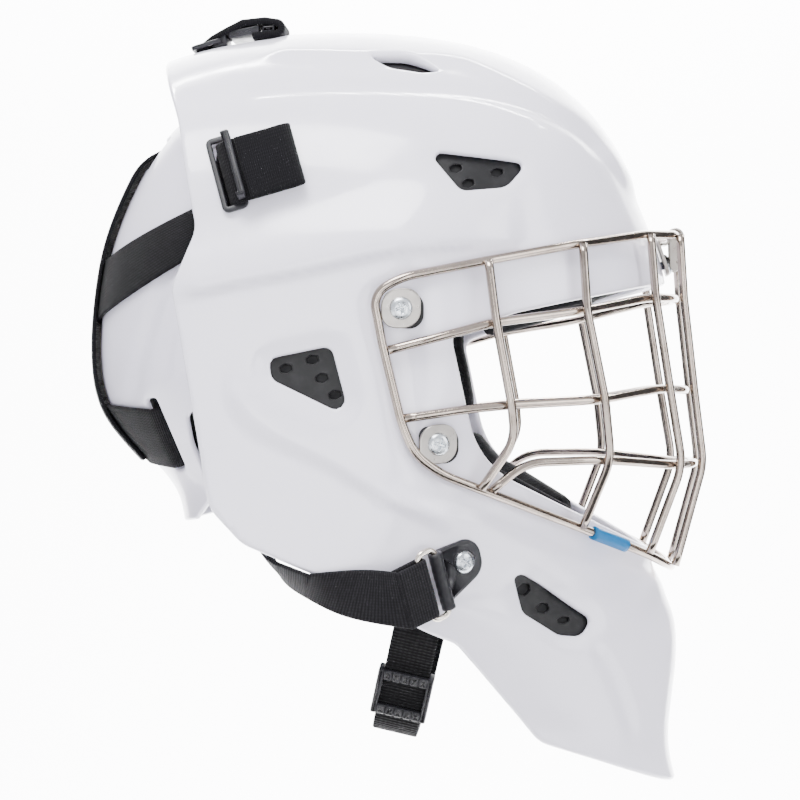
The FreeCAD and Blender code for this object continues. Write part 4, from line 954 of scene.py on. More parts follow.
def make_crown_vents():
    """The slotted black covers behind the vents in the crown."""
    outline = rounded(grown(CROWN_VENT, GRILLE_LAP))

    def in_crown(p):
        value = inside_distance(outline, p[:, 0], -p[:, 1])
        for x in CROWN_SLOTS:
            value = np.minimum(value, np.maximum(np.abs(p[:, 0] - x) - 3, np.abs(p[:, 1] + CROWN_SLOT_Y) - 2))
        return np.minimum(value, p[:, 2] - 100)

    points, faces = patch(shell_form, in_crown, lambda p, g: 2.0, 0.4, COVER_LIFT, 520, 420, (-0.6, -0.05))
    add_pair("crown_vent_cover", points, faces, grille_black, "shell", "crown_vent_grille")


PAD_LIFT, PAD_DEPTH = -(WALL + 2.8), 11.0
SIDED_PADS = {
    "temple_pad": [(-60, 54, 8), (-60, 116, 10), (37, 116, 10), (37, 54, 8)],
    "cheek_pad": [(-66, 48, 8), (29, 48, 4), (29, 25, 4), (38.6, -14, 12), (-56, -12, 8)],
    "jaw_pad": [(-50, -16, 8), (38.4, -17, 4), (49, -29, 14), (84, -48, 4), (84, -70, 8), (28, -76, 6),
                (-4, -70, 10), (-40, -57, 10)],
}
MIDDLE_PADS = {
    "forehead_pad": [(40, 30.4, 4), (40, 84, 8), (170, 84, 0), (170, 70, 0), (97, 47.5, 6), (88, 41.6, 6)],
    "crown_pad": [(-62, 122, 8), (36, 122, 8), (36, 190, 0), (-62, 190, 0)],
    "chin_pad": [(98, -62, 3), (98, -104, 6), (170, -104, 0), (170, -94, 0)],
}


def make_pads():
    """The foam pads: crowned, and pulled in to a thin welded edge."""
    def pillow(p, g):
        return PAD_DEPTH * (0.30 + 0.70 * np.sqrt(1 - (1 - np.clip(g / PAD_DEPTH, 0, 1)) ** 2))

    for name, corners in SIDED_PADS.items():
        outline = rounded(corners)

        def in_pad(p, outline=outline):
            value = inside_distance(outline, p[:, 0], p[:, 2])
            for x, z in CAGE_SCREWS + [JAW_SCREW]:
                value = np.minimum(value, np.hypot(p[:, 0] - x, p[:, 2] - z) - 8.5)
            return np.minimum(value, -20 - p[:, 1])

        points, faces = patch(shell_form, in_pad, pillow, 1.6, PAD_LIFT, 190, 130, (-1.0, -0.1))
        for side in ("right", "left"):
            if side == "left":
                points, faces = mirrored(points), reversed_faces(faces)
            pad = add_mesh(f"{name}_cushion_{side}", points, faces, lining_charcoal, "shell",
                           [f"{name}_{side}"])
    for name, corners in MIDDLE_PADS.items():
        outline = rounded(corners)

        def in_pad(p, outline=outline):
            return inside_distance(outline, p[:, 0], p[:, 2])

        points, faces = patch(shell_form, in_pad, pillow, 1.6, PAD_LIFT, 190, 200)
        pad = add_mesh(f"{name}_cushion", points, faces, lining_charcoal, "shell", [name])


# ---------------------------------------------------------------- cage
WIRE, WELD_BITE, RIM_GAP = 1.9, 0.2, 1.2
RIM_TOP = [(124.9, 0, 73.8), (123.2, -21, 73.6), (109.4, -45, 72.4)]
RIM_SIDE = [
    (80, 66.6), (41.5, 58.4), (6, 51), (-5.4, 44), (-1.4, 23.3), (6.2, -8), (11.4, -21.5), (22, -30),
    (38.4, -36.8), (80, -54.4),
]
RIM_BOTTOM = [(109, -42, -66.5), (121, -21, -73.4), (122.8, 0, -75.2)]
UPRIGHT_TOPS, UPRIGHT_FEET = [1, 2, 3, 4], [-2, -3, -4, -5]
UPRIGHTS = [
    [(127.5, -21, 45.4), (132.0, -21, 4.6), (136.0, -21, -27.9)],
    [(113.8, -49.5, 44.8), (119.9, -50, 5.4), (125.5, -46.5, -28.2)],
    [(83.5, -85, 38.1), (91.1, -84, 0.3), (93.6, -79, -25.1)],
    [(45.5, -109, 32.7), (51.8, -106.5, -1.7), (53.1, -102, -16.4)],
]
UPRIGHT_OUT = 2.6
CROSSBAR_ENDS = [(-0.4, 20.6), (6.0, -7.4), (42.4, -38.5)]
CROSSBAR_LIPS = [(24.0, 27.0), (33.0, -3.4), (57.3, -26.0)]
LIP_LIFT = 4.6


def outward(x, y):
    """The way out of the cage at a place on it, in plan."""
    return unit([x - 10, y, 0])


def rim_points():
    """The centre line of the rim's right half, from the top middle to the bottom middle."""
    side = [shell_form.over(x, z, WIRE + RIM_GAP) for x, z in RIM_SIDE]
    return [np.array(p, float) for p in RIM_TOP] + side + [np.array(p, float) for p in RIM_BOTTOM]


def upright_points(rim, index):
    """The centre line of one right-hand upright."""
    ends = []
    for end in (rim[UPRIGHT_TOPS[index]], rim[UPRIGHT_FEET[index]]):
        ends.append(end + outward(end[0], end[1]) * UPRIGHT_OUT)
    return [ends[0]] + [np.array(p, float) for p in UPRIGHTS[index]] + [ends[1]]


def crossbar_points(rim, index):
    """The centre line of one crossbar, right to left, just inside the uprights."""
    end = shell_form.over(*CROSSBAR_ENDS[index], WIRE + RIM_GAP)
    lip = shell_form.over(*CROSSBAR_LIPS[index], LIP_LIFT)
    half = [end + unit(lip - end) * (WIRE - WELD_BITE), lip]
    for k in range(3 if index < 2 else 2, -1, -1):
        at = upright_points(rim, k)[index + 1]
        half.append(at - outward(at[0], at[1]) * (2 * WIRE - WELD_BITE))
    return half + [mirrored(p) for p in reversed(half)]


def make_cage():
    """The welded wire cage."""
    rim = rim_points()
    loop = rim + [mirrored(p) for p in reversed(rim[1:-1])]
    start = (loop[0] + loop[1]) / 2
    path = bent([start] + loop[1:] + [loop[0], start], 40.0, 4.0)[:-1]
    points, faces = tube(path, WIRE, 20, ring=True)
    add_mesh("cage_rim_wire", points, faces, cage_steel, "shell", ["cage_rim"])
    rods = []
    for k in range(len(UPRIGHTS)):
        points, faces = tube(evenly(bent(upright_points(rim, k), 30.0, 4.0), 6.0), WIRE, 20)
        rods += [(points, faces), (mirrored(points), reversed_faces(faces))]
    points, faces, _ = join(rods)
    add_mesh("cage_upright_wires", points, faces, cage_steel, "shell", ["cage_uprights"])
    bars = [tube(evenly(bent(crossbar_points(rim, k), 60.0, 4.0), 6.0), WIRE, 20) for k in range(3)]
    points, faces, _ = join(bars)
    add_mesh("cage_crossbar_wires", points, faces, cage_steel, "shell", ["cage_crossbars"])
    start, end = rim[-4], rim[-3]
    path = start + (end - start) * np.linspace(0.22, 0.72, 12)[:, None]
    points, faces = tube(path, WIRE + 1.1, 28)
    add_mesh("cage_sleeve_tube", points, faces, sleeve_blue, "shell", ["cage_sleeve"])


# ---------------------------------------------------------------- fixings
HEAD_RADIUS, HEAD_HEIGHT, SHANK = 4.8, 2.3, 2.0
BROW_ORIGIN = np.array([118.3, 0.0, 60.5])
BROW_OUT = unit([0.95, 0, 0.31])
BROW_SITE = (BROW_ORIGIN, np.array([unit(np.cross([0, 1, 0], BROW_OUT)), [0, 1, 0], BROW_OUT]))
CAGE_SEAT, ANCHOR_SEAT, BRACKET_SEAT = 4.05, 3.05, 2.25
CROSS_REACH, CROSS_HALF, CROSS_DEPTH = 2.5, 0.5, 1.35  # the recess in a screw's head


def screw_mesh(site, seat, turn):
    """A pan head with a cross recess, on a short length of shank. turn is the recess's angle."""
    shoulder = 3.6 + 1.2 * np.sin(np.linspace(0.1, 1, 8) * math.pi / 2)
    radii = np.concatenate([np.linspace(0, 3.6, 25), shoulder])
    angles = np.linspace(0, 2 * math.pi, 96, endpoint=False)
    loops = [[(SHANK * math.cos(a), SHANK * math.sin(a), seat - 5) for a in angles]]
    loops.append([(SHANK * math.cos(a), SHANK * math.sin(a), seat + 0.02) for a in angles])
    loops.append([(HEAD_RADIUS * math.cos(a), HEAD_RADIUS * math.sin(a), seat) for a in angles])
    for radius in radii[::-1]:
        ring = []
        for a in angles:
            u, v = radius * math.cos(a - turn), radius * math.sin(a - turn)
            dome = HEAD_HEIGHT * math.sqrt(max(0.0, 1 - (radius / HEAD_RADIUS) ** 3.2)) * 0.95 + 0.05
            lengthways = max(abs(u) - CROSS_REACH, abs(v) - CROSS_HALF)
            crossways = max(abs(v) - CROSS_REACH, abs(u) - CROSS_HALF)
            edge = float(smooth((min(lengthways, crossways) + 0.12) / 0.3))
            sunk = CROSS_DEPTH * (1 - edge) * (1 - 0.35 * radius / CROSS_REACH)
            ring.append((radius * math.cos(a), radius * math.sin(a), seat + dome - max(0.0, sunk)))
        loops.append(ring)
    points, faces = skin(loops)
    return placed(points, site), faces


def make_fixings():
    """The cage's tabs and gaskets, and all the screws."""
    tab = rounded([(-8.2, -8.2, 6), (8.2, -8.2, 7.5), (8.2, 8.2, 6), (-8.2, 8.2, 7.5)])
    gasket = rounded([(-7.4, -7.4, 4), (9.4, -9.0, 6), (9.4, 6.4, 6), (-7.4, 7.4, 4)])
    tabs, gaskets, screws = [], [], []
    for n, (x, z) in enumerate(CAGE_SCREWS):
        site = shell_form.site(x, z)
        plates = ((tabs, tab, 2.45, 4.0, 0.4), (gaskets, gasket, -0.6, 2.4, 0.5))
        for parts, outline, low, high, bevel in plates:
            points, faces = slab(outline, low, high, bevel)
            points = placed(points, site)
            parts += [(points, faces), (mirrored(points), reversed_faces(faces))]
        points, faces = screw_mesh(site, CAGE_SEAT, 0.35 + 0.9 * n)
        screws += [(points, faces), (mirrored(points), reversed_faces(faces))]
    points, faces = screw_mesh(shell_form.site(*JAW_SCREW), ANCHOR_SEAT, 0.9)
    screws += [(points, faces), (mirrored(points), reversed_faces(faces))]
    screws.append(screw_mesh(BROW_SITE, BRACKET_SEAT, 0.5))
    for name, parts, finish, stands_for in (
        ("cage_tab_plates", tabs, tab_steel, "cage_tabs"),
        ("cage_tab_gaskets", gaskets, rubber_black, "cage_gaskets"),
        ("screw_heads", screws, screw_steel, "screws"),
    ):
        points, faces, _ = join(parts)
        add_mesh(name, points, faces, finish, "shell", [stands_for])


def make_brow_bracket():
    """The plate on the forehead and the clip that holds the cage's rim to it."""
    points, faces = slab(box(-13, -11, 5, 11, 3), 0.8, 2.2, 0.35)
    add_mesh("brow_bracket", placed(points, BROW_SITE), faces, tab_steel, "shell", ["cage_bracket"])
    clip = [(117.9, 0, 70.3), (121.3, 0, 70.4), (121.3, 0, 76.8), (127.4, 0, 76.8), (127.8, 0, 64.0)]
    points, faces, _ = ribbon(flat_rows(evenly(bent(clip, 3.0), 1.5), (0, 1, 0), 14.0), 1.4)
    parts = [(points, faces)]
    cheek = rounded([
        (121.4, 75.6, 1), (127.0, 75.6, 1.5), (127.3, 62, 2), (124.9, 56.4, 2), (121.9, 59.5, 2),
    ])
    parts += [extruded(cheek, -7.6, -6.4, 0.3), extruded(cheek, 6.4, 7.6, 0.3)]
    points, faces, _ = join(parts)
    add_mesh("brow_clip", points, faces, tab_steel, "shell", ["cage_clip"])


# ---------------------------------------------------------------- jaw anchors and rings
BARREL_AT, BARREL_LOW, BARREL_HIGH, BARREL_LIFT, BARREL = -13.2, -15.2, 9.9, 4.4, 3.0
RING_WIRE, RING_SPAN, RING_REACH = 1.3, 30.0, 8.6
ELASTIC, ELASTIC_WIDTH = 1.8, 24.0
BARREL_MIDDLE = (BARREL_LOW + BARREL_HIGH) / 2


def make_jaw_anchors():
    """The hinged strap anchors, their rings and the strap ends sewn round the rings."""
    site = shell_form.site(*JAW_SCREW, ANCHOR_WAY)
    plate = rounded([(-12.4, 9.6, 1), (9.4, 8.8, 8), (8.6, -7.2, 8), (0, -10.4, 8), (-12.4, -14.9, 1)], 6.0)
    plate_mesh = slab(plate, -0.2, 3.0, 0.8)
    boss = rounded([(-4.8, -5.6, 4), (5.4, -4.8, 5.2), (5.4, 4.8, 5.2), (-4.8, 5.6, 4)])
    boss_mesh = slab(boss, 2.6, 3.35, 0.3)
    lengths = np.linspace(BARREL_LOW, BARREL_HIGH, 30)
    flare = BARREL * (1 - 0.05 * np.cos((lengths - BARREL_MIDDLE) * 0.9) ** 8)
    angles = np.linspace(0, 2 * math.pi, 28, endpoint=False)
    loops = []
    for radius, v in [(1.7, BARREL_LOW)] + list(zip(flare, lengths)) + [(1.7, BARREL_HIGH)]:
        loops.append([(BARREL_AT + radius * math.cos(a), v, BARREL_LIFT - radius * math.sin(a))
                      for a in angles])
    barrel_mesh = skin(loops)
    points, faces, _ = join([plate_mesh, boss_mesh, barrel_mesh])
    low, high = BARREL_MIDDLE - RING_SPAN / 2, BARREL_MIDDLE + RING_SPAN / 2
    far = BARREL_AT - RING_REACH
    ring = rounded([(BARREL_AT, low, 3.4), (BARREL_AT, high, 3.4), (far, high, 3.4), (far, low, 3.4)], 12.0)
    ring = np.column_stack([ring, np.full(len(ring), BARREL_LIFT)])
    ring_points, ring_faces = tube(ring, RING_WIRE, 16, ring=True)
    gap = RING_WIRE + ELASTIC / 2 + 0.25
    turns = ((far - 12, gap), (far + gap, gap), (far + gap, -gap), (far - 12, -gap * 0.72))
    path = [(ahead, BARREL_MIDDLE, BARREL_LIFT + up) for ahead, up in turns]
    rows = flat_rows(evenly(bent(path, gap, 10.0), 1.5), (0, 1, 0), ELASTIC_WIDTH)
    loop_points, loop_faces, uv = ribbon(rows, ELASTIC)
    for name, body, mesh, finish, node_name, run in (
        ("jaw_anchor_plate", "shell", (points, faces), plastic_black, "jaw_anchor", None),
        ("strap_ring_wire", "ring", (ring_points, ring_faces), ring_steel, "strap_ring", None),
        ("ring_strap_loop", "ring", (loop_points, loop_faces), elastic_grained, "ring_strap_end", uv),
    ):
        local, wound = placed(mesh[0], site), mesh[1]
        for side in ("right", "left"):
            if side == "left":
                local, wound = mirrored(local), reversed_faces(wound)
            owner = body if body == "shell" else f"{side}_ring"
            add_mesh(f"{name}_{side}", local, wound, finish, owner, [f"{node_name}_{side}"], run)
    return site


# ---------------------------------------------------------------- harness
BAND_LIFT = 0.5
UPPER_END, UPPER_HIGH, UPPER_LOW, UPPER_RISE = -0.62, 60.0, 35.5, 27.0
LOWER_END, LOWER_HIGH, LOWER_LOW, LOWER_DROP = -0.385, -2.0, -26.5, 2.2
DIVE_START, DIVE_END, DIVE_DEPTH, LOWER_BAND_END = 0.352, 0.412, 6.6, 0.50
LOWER_SLANT = 0.16
BACK_HALF = 0.155  # half the back strap's width, as a share of the way round the plate
BACK_STEPS = [(118, -4.4), (113.5, -2.4), (108.5, 1.0), (103, 3.2)] + [(96 - 10 * i, 3.7) for i in range(13)]
FOLD_HALF = 13.0
FOLD_STEPS = [
    (-0.4, -6.0), (-0.2, -2.0), (0.8, 2.4), (5.6, 6.2), (12.0, 4.6), (18.0, 3.6), (24.0, 3.0), (29.4, 2.9),
    (31.3, 4.3), (29.8, 6.2), (24.0, 6.5), (18.0, 6.8), (12.0, 7.4), (8.4, 8.3),
]
TOP_FOLD = [
    (-90.7, 153.0), (-89.6, 158.6), (-84.0, 163.2), (-78.0, 166.6), (-70.5, 170.4), (-60.5, 171.4),
    (-52.6, 170.2), (-53.2, 165.6), (-66.0, 164.5),
]
TOP_FOLD_THICK = 3.0
TOP_BLOCKS = [
    [(-77.0, 163.6, 0.8), (-63.2, 165.6, 0.8), (-63.2, 169.4, 0.8), (-77.0, 166.6, 0.8)],
    [(-61.6, 166.0, 0.6), (-56.2, 166.6, 0.6), (-56.2, 169.2, 0.6), (-61.6, 168.8, 0.6)],
    [(-83.6, 158.4, 0.8), (-77.6, 160.6, 0.8), (-78.4, 165.4, 0.8), (-84.2, 163.0, 0.8)],
]
TOP_LINK = [(-90.9, 151.8), (-89.6, 140.0), (-90.0, 127.0), (-98.6, 115.2)]


def band_row(across, high, low, lift):
    """Three points across a band that lies round the backplate, from its upper edge to its lower edge."""
    return [plate_form.at_height(across, z, lift) for z in (high, (high + low) / 2, low)]


def upper_band_row(across, lift):
    """A row of the upper band; its ends rise."""
    rise = UPPER_RISE * (across / UPPER_END) ** 2
    return band_row(across, UPPER_HIGH + rise, UPPER_LOW + rise, lift)


def lower_band_row(across, lift):
    """A row of the lower band. Its ends drop, and it leans along the slot that it dives through."""
    drop = LOWER_DROP * (across / LOWER_END) ** 2
    high, low = LOWER_HIGH - drop, LOWER_LOW - drop
    lean = LOWER_SLANT * (1 - float(smooth((abs(across) - DIVE_END) / 0.08)))
    return [plate_form.at_height(across * (1 + lean * side), z, lift)
            for side, z in ((1, high), (0, (high + low) / 2), (-1, low))]


def dive(across):
    """Height of the lower band's middle layer over the plate: level at the back, then down a slot."""
    share = (abs(across) - DIVE_START) / (DIVE_END - DIVE_START)
    return BAND_LIFT + ELASTIC / 2 - DIVE_DEPTH * float(smooth(share))


def slot_row(ahead, lift):
    """Three points across the strap that runs through the shell's side slot, from its top edge down."""
    row = []
    for side in (-FOLD_HALF, 0.0, FOLD_HALF):
        x = SIDE_SLOT[0] + SLOT_TILT[0] * side - SLOT_TILT[1] * ahead
        z = SIDE_SLOT[1] + SLOT_TILT[1] * side + SLOT_TILT[0] * ahead
        row.append(shell_form.over(x, z, lift))
    return row


def add_strap(name, rows, finish, body, node_names, thickness=ELASTIC, both=False, bend=None):
    """A strap through dense rows of points, or a pair of them. bend is (body, start, end) for one that
    crosses a joint from its own body; such a strap is put on no body, and the body, start and end in bend are
    not used."""
    points, faces, uv = ribbon(rows, thickness)
    for side in (("right", "left") if both else ("",)):
        if side == "left":
            points, faces = mirrored(points), reversed_faces(faces)
        title = f"{name}_{side}" if side else name
        nodes = [f"{n}_{side}" if side else n for n in node_names]
        strap = add_mesh(title, points, faces, finish, None if bend else body, nodes, uv)
        if bend:
            other, start, end = bend
            other = other.replace("side", side)
            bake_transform(strap)


def frame_mesh(site, behind, ahead, half_width, low):
    """A rectangular strap frame of rounded bars."""
    bar, deep = 2.4, 2.0
    outline = box(behind - bar / 2, -half_width - bar / 2, ahead + bar / 2, half_width + bar / 2, 1.6)
    tangent = unit(np.roll(outline, -1, axis=0) - np.roll(outline, 1, axis=0))
    side = np.stack([tangent[:, 1], -tangent[:, 0]], axis=1)
    section = box(-bar / 2, 0, bar / 2, deep, 0.5, 30.0)
    loops = []
    for at, out in zip(outline, side):
        loops.append([(at[0] + out[0] * s, at[1] + out[1] * s, low + h) for s, h in section])
    points, faces = skin(loops, ring=True)
    return placed(points, site), reversed_faces(faces)


def make_bands():
    """The elastic bands round the backplate and down its middle."""
    steps = np.linspace(UPPER_END, -UPPER_END, 41)
    rows = np.array([upper_band_row(a, BAND_LIFT + ELASTIC / 2) for a in steps])
    add_strap("upper_band_strap", dense_rows(rows, 2.5), elastic_black, "backplate", ["upper_band"])
    steps = np.linspace(-LOWER_BAND_END, LOWER_BAND_END, 57)
    rows = np.array([lower_band_row(a, dive(a)) for a in steps])
    add_strap("lower_band_strap", dense_rows(rows, 2.5), elastic_black, "backplate", ["lower_band"])
    rows = []
    for z, lift in BACK_STEPS:
        rows.append([plate_form.at_height(share * BACK_HALF, z, lift) for share in (1, 0, -1)])
    add_strap("back_midline_strap", dense_rows(rows, 2.5), elastic_black, "backplate", ["back_strap"])


def make_side_straps():
    """The elastic through the shell's side slots, its frames, and the runs back to the backplate."""
    rows = np.array([slot_row(*step) for step in FOLD_STEPS])
    add_strap("side_fold_strap", dense_rows(rows, 1.2), elastic_black, "shell", ["side_strap_fold"],
              both=True)
    site = shell_form.site(*SIDE_SLOT, (0.957, 0.29))
    bar = slab(box(4.2, -15.2, 7.0, 15.2, 1.1), 9.5, 11.3, 0.7)
    parts = [frame_mesh(site, -2.0, 4.4, 15.0, 0.15), (placed(bar[0], site), bar[1])]
    for end in (-14.4, 14.4):
        leg = slab(box(3.2, end - 1.0, 6.8, end + 1.0, 0.8), 0.4, 10.9, 0.6)
        parts.append((placed(leg[0], site), leg[1]))
    points, faces, _ = join(parts)
    add_pair("side_frame", points, faces, plastic_black, "shell", "side_strap_frame")
    start = np.array(slot_row(-0.8, -7.0))
    end = np.array(upper_band_row(UPPER_END - 0.012, BAND_LIFT + ELASTIC / 2))
    rows = np.array([start, (start + end) / 2 + np.array([-2.0, -5.0, 2.0]), end])
    add_strap("upper_side_strap", dense_rows(rows, 2.5), elastic_black, "shell", ["upper_strap"], both=True,
              bend=("backplate", start[1], end[1]))


def make_top_strap():
    """The elastic from the shell's top slot down to the backplate, with its frame."""
    path = evenly(bent([(x, 0, z) for x, z in TOP_FOLD], 3.0, 10.0), 1.5)
    add_strap("top_fold_strap", flat_rows(path, (0, 1, 0), ELASTIC_WIDTH), elastic_black, "shell",
              ["top_strap_fold"], TOP_FOLD_THICK)
    path = evenly(bent([(x, 0, z) for x, z in TOP_LINK], 30.0), 2.5)
    add_strap("top_link_strap", flat_rows(path, (0, 1, 0), ELASTIC_WIDTH), elastic_black, "shell",
              ["top_strap_link"], bend=("backplate", path[0], path[-1]))
    axes = np.array([unit([0.96, 0, 0.28]), [0, 1, 0], unit([-0.28, 0, 0.96])])
    tilted = (np.array([-86.4, 0, 158.9]), axes)
    blocks = [extruded(rounded(corners), -12.4, 12.4, 0.5) for corners in TOP_BLOCKS]
    points, faces, _ = join([frame_mesh(tilted, -4.6, 5.0, 12.8, 0.6)] + blocks)
    add_mesh("top_frame", points, faces, plastic_black, "shell", ["top_strap_frame"])


def make_lower_straps(site):
    """The elastic from each jaw ring, under the shell's lower edge and up to the backplate."""
    far, lift = BARREL_AT - RING_REACH - 11.6, BARREL_LIFT + RING_WIRE + ELASTIC / 2
    shares = (1, 0, -1)
    ring_end = placed([(far, BARREL_MIDDLE + ELASTIC_WIDTH / 2 * s, lift) for s in shares], site)
    outside = np.array([(-12, -117.8, -70.3), (-14.5, -116, -79.3), (-17, -113.5, -88.2)])
    under = np.array([(-32, -115.8, -72.2), (-32.8, -109, -77), (-34.5, -99.5, -81.6)])
    turn = np.array([(-42, -111.6, -68.8), (-42.6, -103, -73.2), (-43.6, -92.5, -76)])
    inside = np.array([(-51.5, -104, -64), (-50.5, -95, -67), (-49.5, -84, -67.5)])
    rising = np.array([(-64, -97, -35), (-62.5, -91, -45), (-59.5, -84, -54)])
    notch = np.array([(-78, -74, -14), (-75.5, -75, -26), (-73, -75, -37.5)])
    start = np.array(lower_band_row(-LOWER_BAND_END - 0.02, dive(LOWER_BAND_END) - 0.4))
    rows = np.array([ring_end, outside, under])
    add_strap("lower_front_strap", dense_rows(rows, 1.5), elastic_grained, "shell", ["lower_strap_front"],
              both=True, bend=("side_ring", outside[1], ring_end[1]))
    rows = np.array([under + (turn - under) * 0.01, turn, inside, rising, notch, start])
    add_strap("lower_rear_strap", dense_rows(rows, 2.0), elastic_grained, "shell", ["lower_strap_rear"],
              both=True, bend=("backplate", inside[1], start[1]))


# ---------------------------------------------------------------- chin strap
CHIN_DOWN, CHIN_AHEAD = np.array([-0.225, 0, -0.974]), np.array([0.974, 0, -0.225])
CHIN_STEPS = [(0.0, -7.0), (0.0, 12.0), (21.5, 58.0)]
CHIN_INSET, CHIN_WIDTH, CHIN_WEBBING = 12.2, 18.0, 1.6
SLIDER_DOWN = 39.5


def make_chin_strap():
    """The chin strap. Gives back the corners of its right leg, where the slider sits."""
    pin = np.array([CHIN_RIVET[0], CHIN_INSET - float(shell_form.half_width(*CHIN_RIVET)), CHIN_RIVET[1]])
    right = [pin + np.array([0, inward, 0]) + CHIN_DOWN * down for inward, down in CHIN_STEPS]
    points = right + [mirrored(p) for p in reversed(right)]
    path = [points[0]]
    for before, here, after, radius in zip(points, points[1:], points[2:], (25.0, 14.0, 14.0, 25.0)):
        path += arc_points(before, here, after, radius)
    path = evenly(np.array(path + [points[-1]]), 2.0)
    rows = flat_rows(path, CHIN_AHEAD, CHIN_WIDTH)
    add_strap("chin_webbing", rows, webbing_black, "chin_strap", ["chin_strap"], CHIN_WEBBING)
    return right


def slider_site(leg):
    """The slider's place on the strap's right leg."""
    run = unit(leg[2] - leg[1])
    upper, lower = CHIN_STEPS[1][1], CHIN_STEPS[2][1]
    at = leg[1] + (leg[2] - leg[1]) * (SLIDER_DOWN - upper) / (lower - upper)
    out = unit(np.cross(run, CHIN_AHEAD))
    out = -out if out[1] > 0 else out
    up = -run
    return at, np.array([unit(np.cross(up, out)), up, out])


def make_chin_slider(leg):
    """The ribbed slider on the strap's right leg."""
    half, tall, deep, bar = CHIN_WIDTH / 2, 11.0, 3.2, 2.6
    parts = []
    for side in (-1, 1):
        u = side * (half + 0.4 + bar / 2)
        parts.append(slab(box(u - bar / 2, -tall, u + bar / 2, tall, 0.8), -deep, deep, 0.7))
    for v, ribs in ((tall - 2.5, 5), (-tall + 2.5, 5)):
        for k in range(ribs):
            u = (k - (ribs - 1) / 2) * (2 * half + 1.2) / ribs
            tooth = box(u - 1.9, v - 2.4, u + 1.9, v + 2.4, 0.9)
            parts.append(slab(tooth, 1.15, deep + 0.1, 0.8))
        bridge = box(-half - 1, v - 2.3, half + 1, v + 2.3, 0.6)
        parts.append(slab(bridge, 1.1, deep - 0.6, 0.4))
        parts.append(slab(bridge, -deep + 0.2, -1.1, 0.4))
    points, faces, _ = join(parts)
    add_mesh("chin_slider_body", placed(points, slider_site(leg)), faces, plastic_black, "chin_slider",
             ["chin_slider"])


# ---------------------------------------------------------------- CAD pieces that stay
def finish_nodes():
    """Gives the CAD nodes that show as they are a better material."""
    for name in ("tee_nuts", "chin_rivet_right", "chin_rivet_left"):
        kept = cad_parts[name]
        kept.data.materials.clear()
        kept.data.materials.append(screw_steel)


# ---------------------------------------------------------------- stage, light and camera
DARK_CARDS = [  # name, middle, half length and half height, as vectors in metres
    ("card_left", (-0.75, 0.20, 0.15), (0.18, 0.42, 0), (0, 0, 0.55)),
    ("card_right", (0.80, 0.20, 0.15), (-0.18, 0.42, 0), (0, 0, 0.55)),
    ("card_ahead", (0.35, -1.70, 0.15), (0.16, 0.02, 0), (0, 0, 0.7)),
    ("card_below", (0.10, -0.45, -0.50), (0.60, 0, 0), (0, 0.28, 0)),
    ("card_above", (0.10, 0.25, 0.85), (0.55, 0, 0), (0, 0.16, 0.05)),
]


FLOOR_HEIGHT, FLOOR_NEAR, FLOOR_FAR = -0.6, -2.5, 2.2  # metres, like the next two
BACKDROP_BEND, BACKDROP_TOP = 1.0, 4.0


def make_backdrop():
    """A pale floor that curves up into a backdrop."""
    made, tree, shader = material("stage_white")
    pale = mixed(tree, noise(tree, 1.0, 2.0), (0.93, 0.93, 0.935), (0.95, 0.95, 0.955))
    tree.links.new(pale, shader.inputs["Base Color"])
    shader.inputs["Roughness"].default_value = 0.9
    turn = np.linspace(0.1, 1.0, 12) * math.pi / 2
    depths = [FLOOR_NEAR, FLOOR_FAR] + list(FLOOR_FAR + BACKDROP_BEND * np.sin(turn))
    heights = [FLOOR_HEIGHT] * 2 + list(FLOOR_HEIGHT + BACKDROP_BEND * (1 - np.cos(turn)))
    depths.append(FLOOR_FAR + BACKDROP_BEND)
    heights.append(BACKDROP_TOP)
    points = [(x / MM, y / MM, z / MM) for y, z in zip(depths, heights) for x in (-6.0, 6.0)]
    faces = [(2 * i, 2 * i + 1, 2 * i + 3, 2 * i + 2) for i in range(len(depths) - 1)]
    add_mesh("backdrop", points, faces, made, None)


def make_cards():
    """The dark cards whose reflections give the metal its edges."""
    dark, tree, shader = material("card_black")
    black = mixed(tree, noise(tree, 3.0, 2.0), (0.012, 0.012, 0.013), (0.02, 0.02, 0.021))
    tree.links.new(black, shader.inputs["Base Color"])
    shader.inputs["Roughness"].default_value = 0.95
    corners = ((-1, -1), (1, -1), (1, 1), (-1, 1))
    for name, middle, along, up in DARK_CARDS:
        points = [(np.array(middle) + np.array(along) * i + np.array(up) * j) / MM for i, j in corners]
        card = add_mesh(name, points, [(0, 1, 2, 3)], dark, None)
        card.visible_camera = False  # it only shades the metal, and stays out of every view


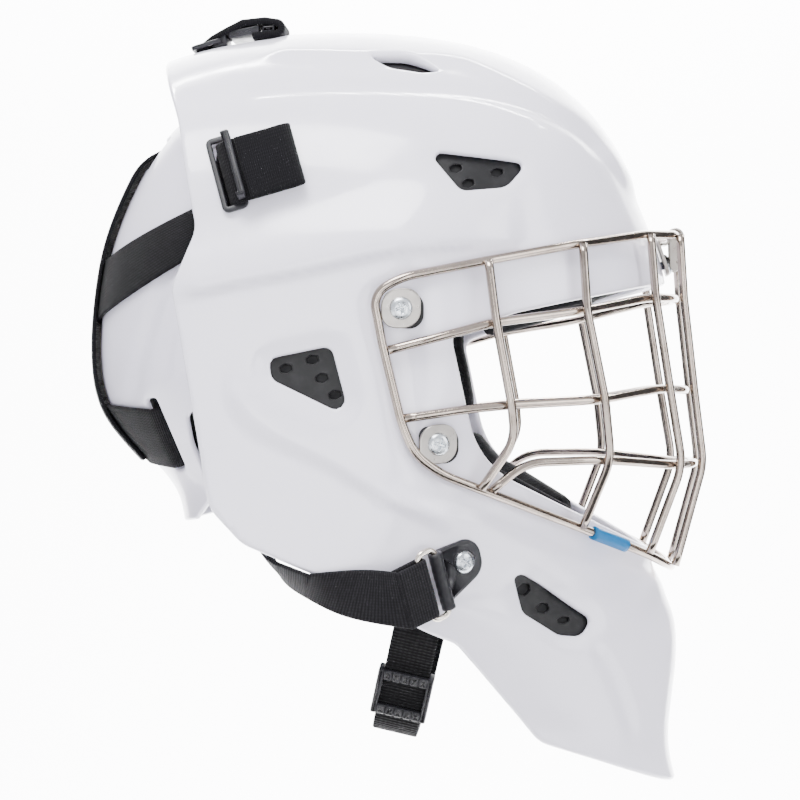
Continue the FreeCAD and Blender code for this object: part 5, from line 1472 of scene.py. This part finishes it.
def add_light(name, at, target, width, height, power):
    """A rectangular soft white light."""
    light = bpy.data.lights.new(name, "AREA")
    light.shape, light.size, light.size_y = "RECTANGLE", width, height
    light.energy = power
    made = bpy.data.objects.new(name, light)
    made.location = at
    made.rotation_euler = (Vector(target) - Vector(at)).to_track_quat("-Z", "Y").to_euler()
    bpy.context.scene.collection.objects.link(made)


def make_lights():
    """Soft studio light: a pale room, one large light above, and fill from both sides."""
    world = bpy.data.worlds.new("room")
    bpy.context.scene.world = world
    world.use_nodes = True
    world.node_tree.nodes["Background"].inputs["Color"].default_value = (0.95, 0.96, 1.0, 1)
    world.node_tree.nodes["Background"].inputs["Strength"].default_value = 1.30
    add_light("key", (-0.4, -0.9, 1.6), (0, 0, 0.03), 1.1, 0.7, 60.0)
    add_light("front", (1.6, -0.8, 0.5), (0, 0, 0), 0.7, 1.2, 13.0)
    add_light("rim", (-1.4, 0.9, 0.9), (0, 0, 0), 0.8, 1.2, 11.0)
    add_light("fill", (0.3, -1.9, -0.15), (0, 0, -0.02), 1.4, 0.8, 20.0)
    add_light("backdrop_wash", (0.0, 1.2, 2.2), (0.0, 3.0, 0.3), 3.0, 1.5, 1100.0)


CAMERA_DISTANCE, CAMERA_TURN, CAMERA_HEIGHT = 1.25, math.radians(2.9), 0.005  # metres and radians
SENSOR_WIDTH, LENS_LENGTH, LENS_SHIFT = 36.0, 123.76, -0.01375


def make_camera():
    """The camera, square to the mask's right side."""
    lens = bpy.data.cameras.new("camera")
    lens.sensor_width, lens.lens = SENSOR_WIDTH, LENS_LENGTH
    lens.shift_y = LENS_SHIFT
    made = bpy.data.objects.new("camera", lens)
    aside, back = CAMERA_DISTANCE * math.sin(CAMERA_TURN), -CAMERA_DISTANCE * math.cos(CAMERA_TURN)
    made.location = (aside, back, CAMERA_HEIGHT)
    made.rotation_euler = (math.pi / 2, 0, CAMERA_TURN)
    bpy.context.scene.collection.objects.link(made)
    bpy.context.scene.camera = made


make_camera()
make_shell()
make_backplate()
make_backplate_foam()
make_vents()
make_crown_vents()
make_pads()
make_cage()
make_fixings()
make_brow_bracket()
jaw_site = make_jaw_anchors()
make_bands()
make_side_straps()
make_top_strap()
make_lower_straps(jaw_site)
make_chin_slider(make_chin_strap())
finish_nodes()
make_backdrop()
make_cards()
make_lights()
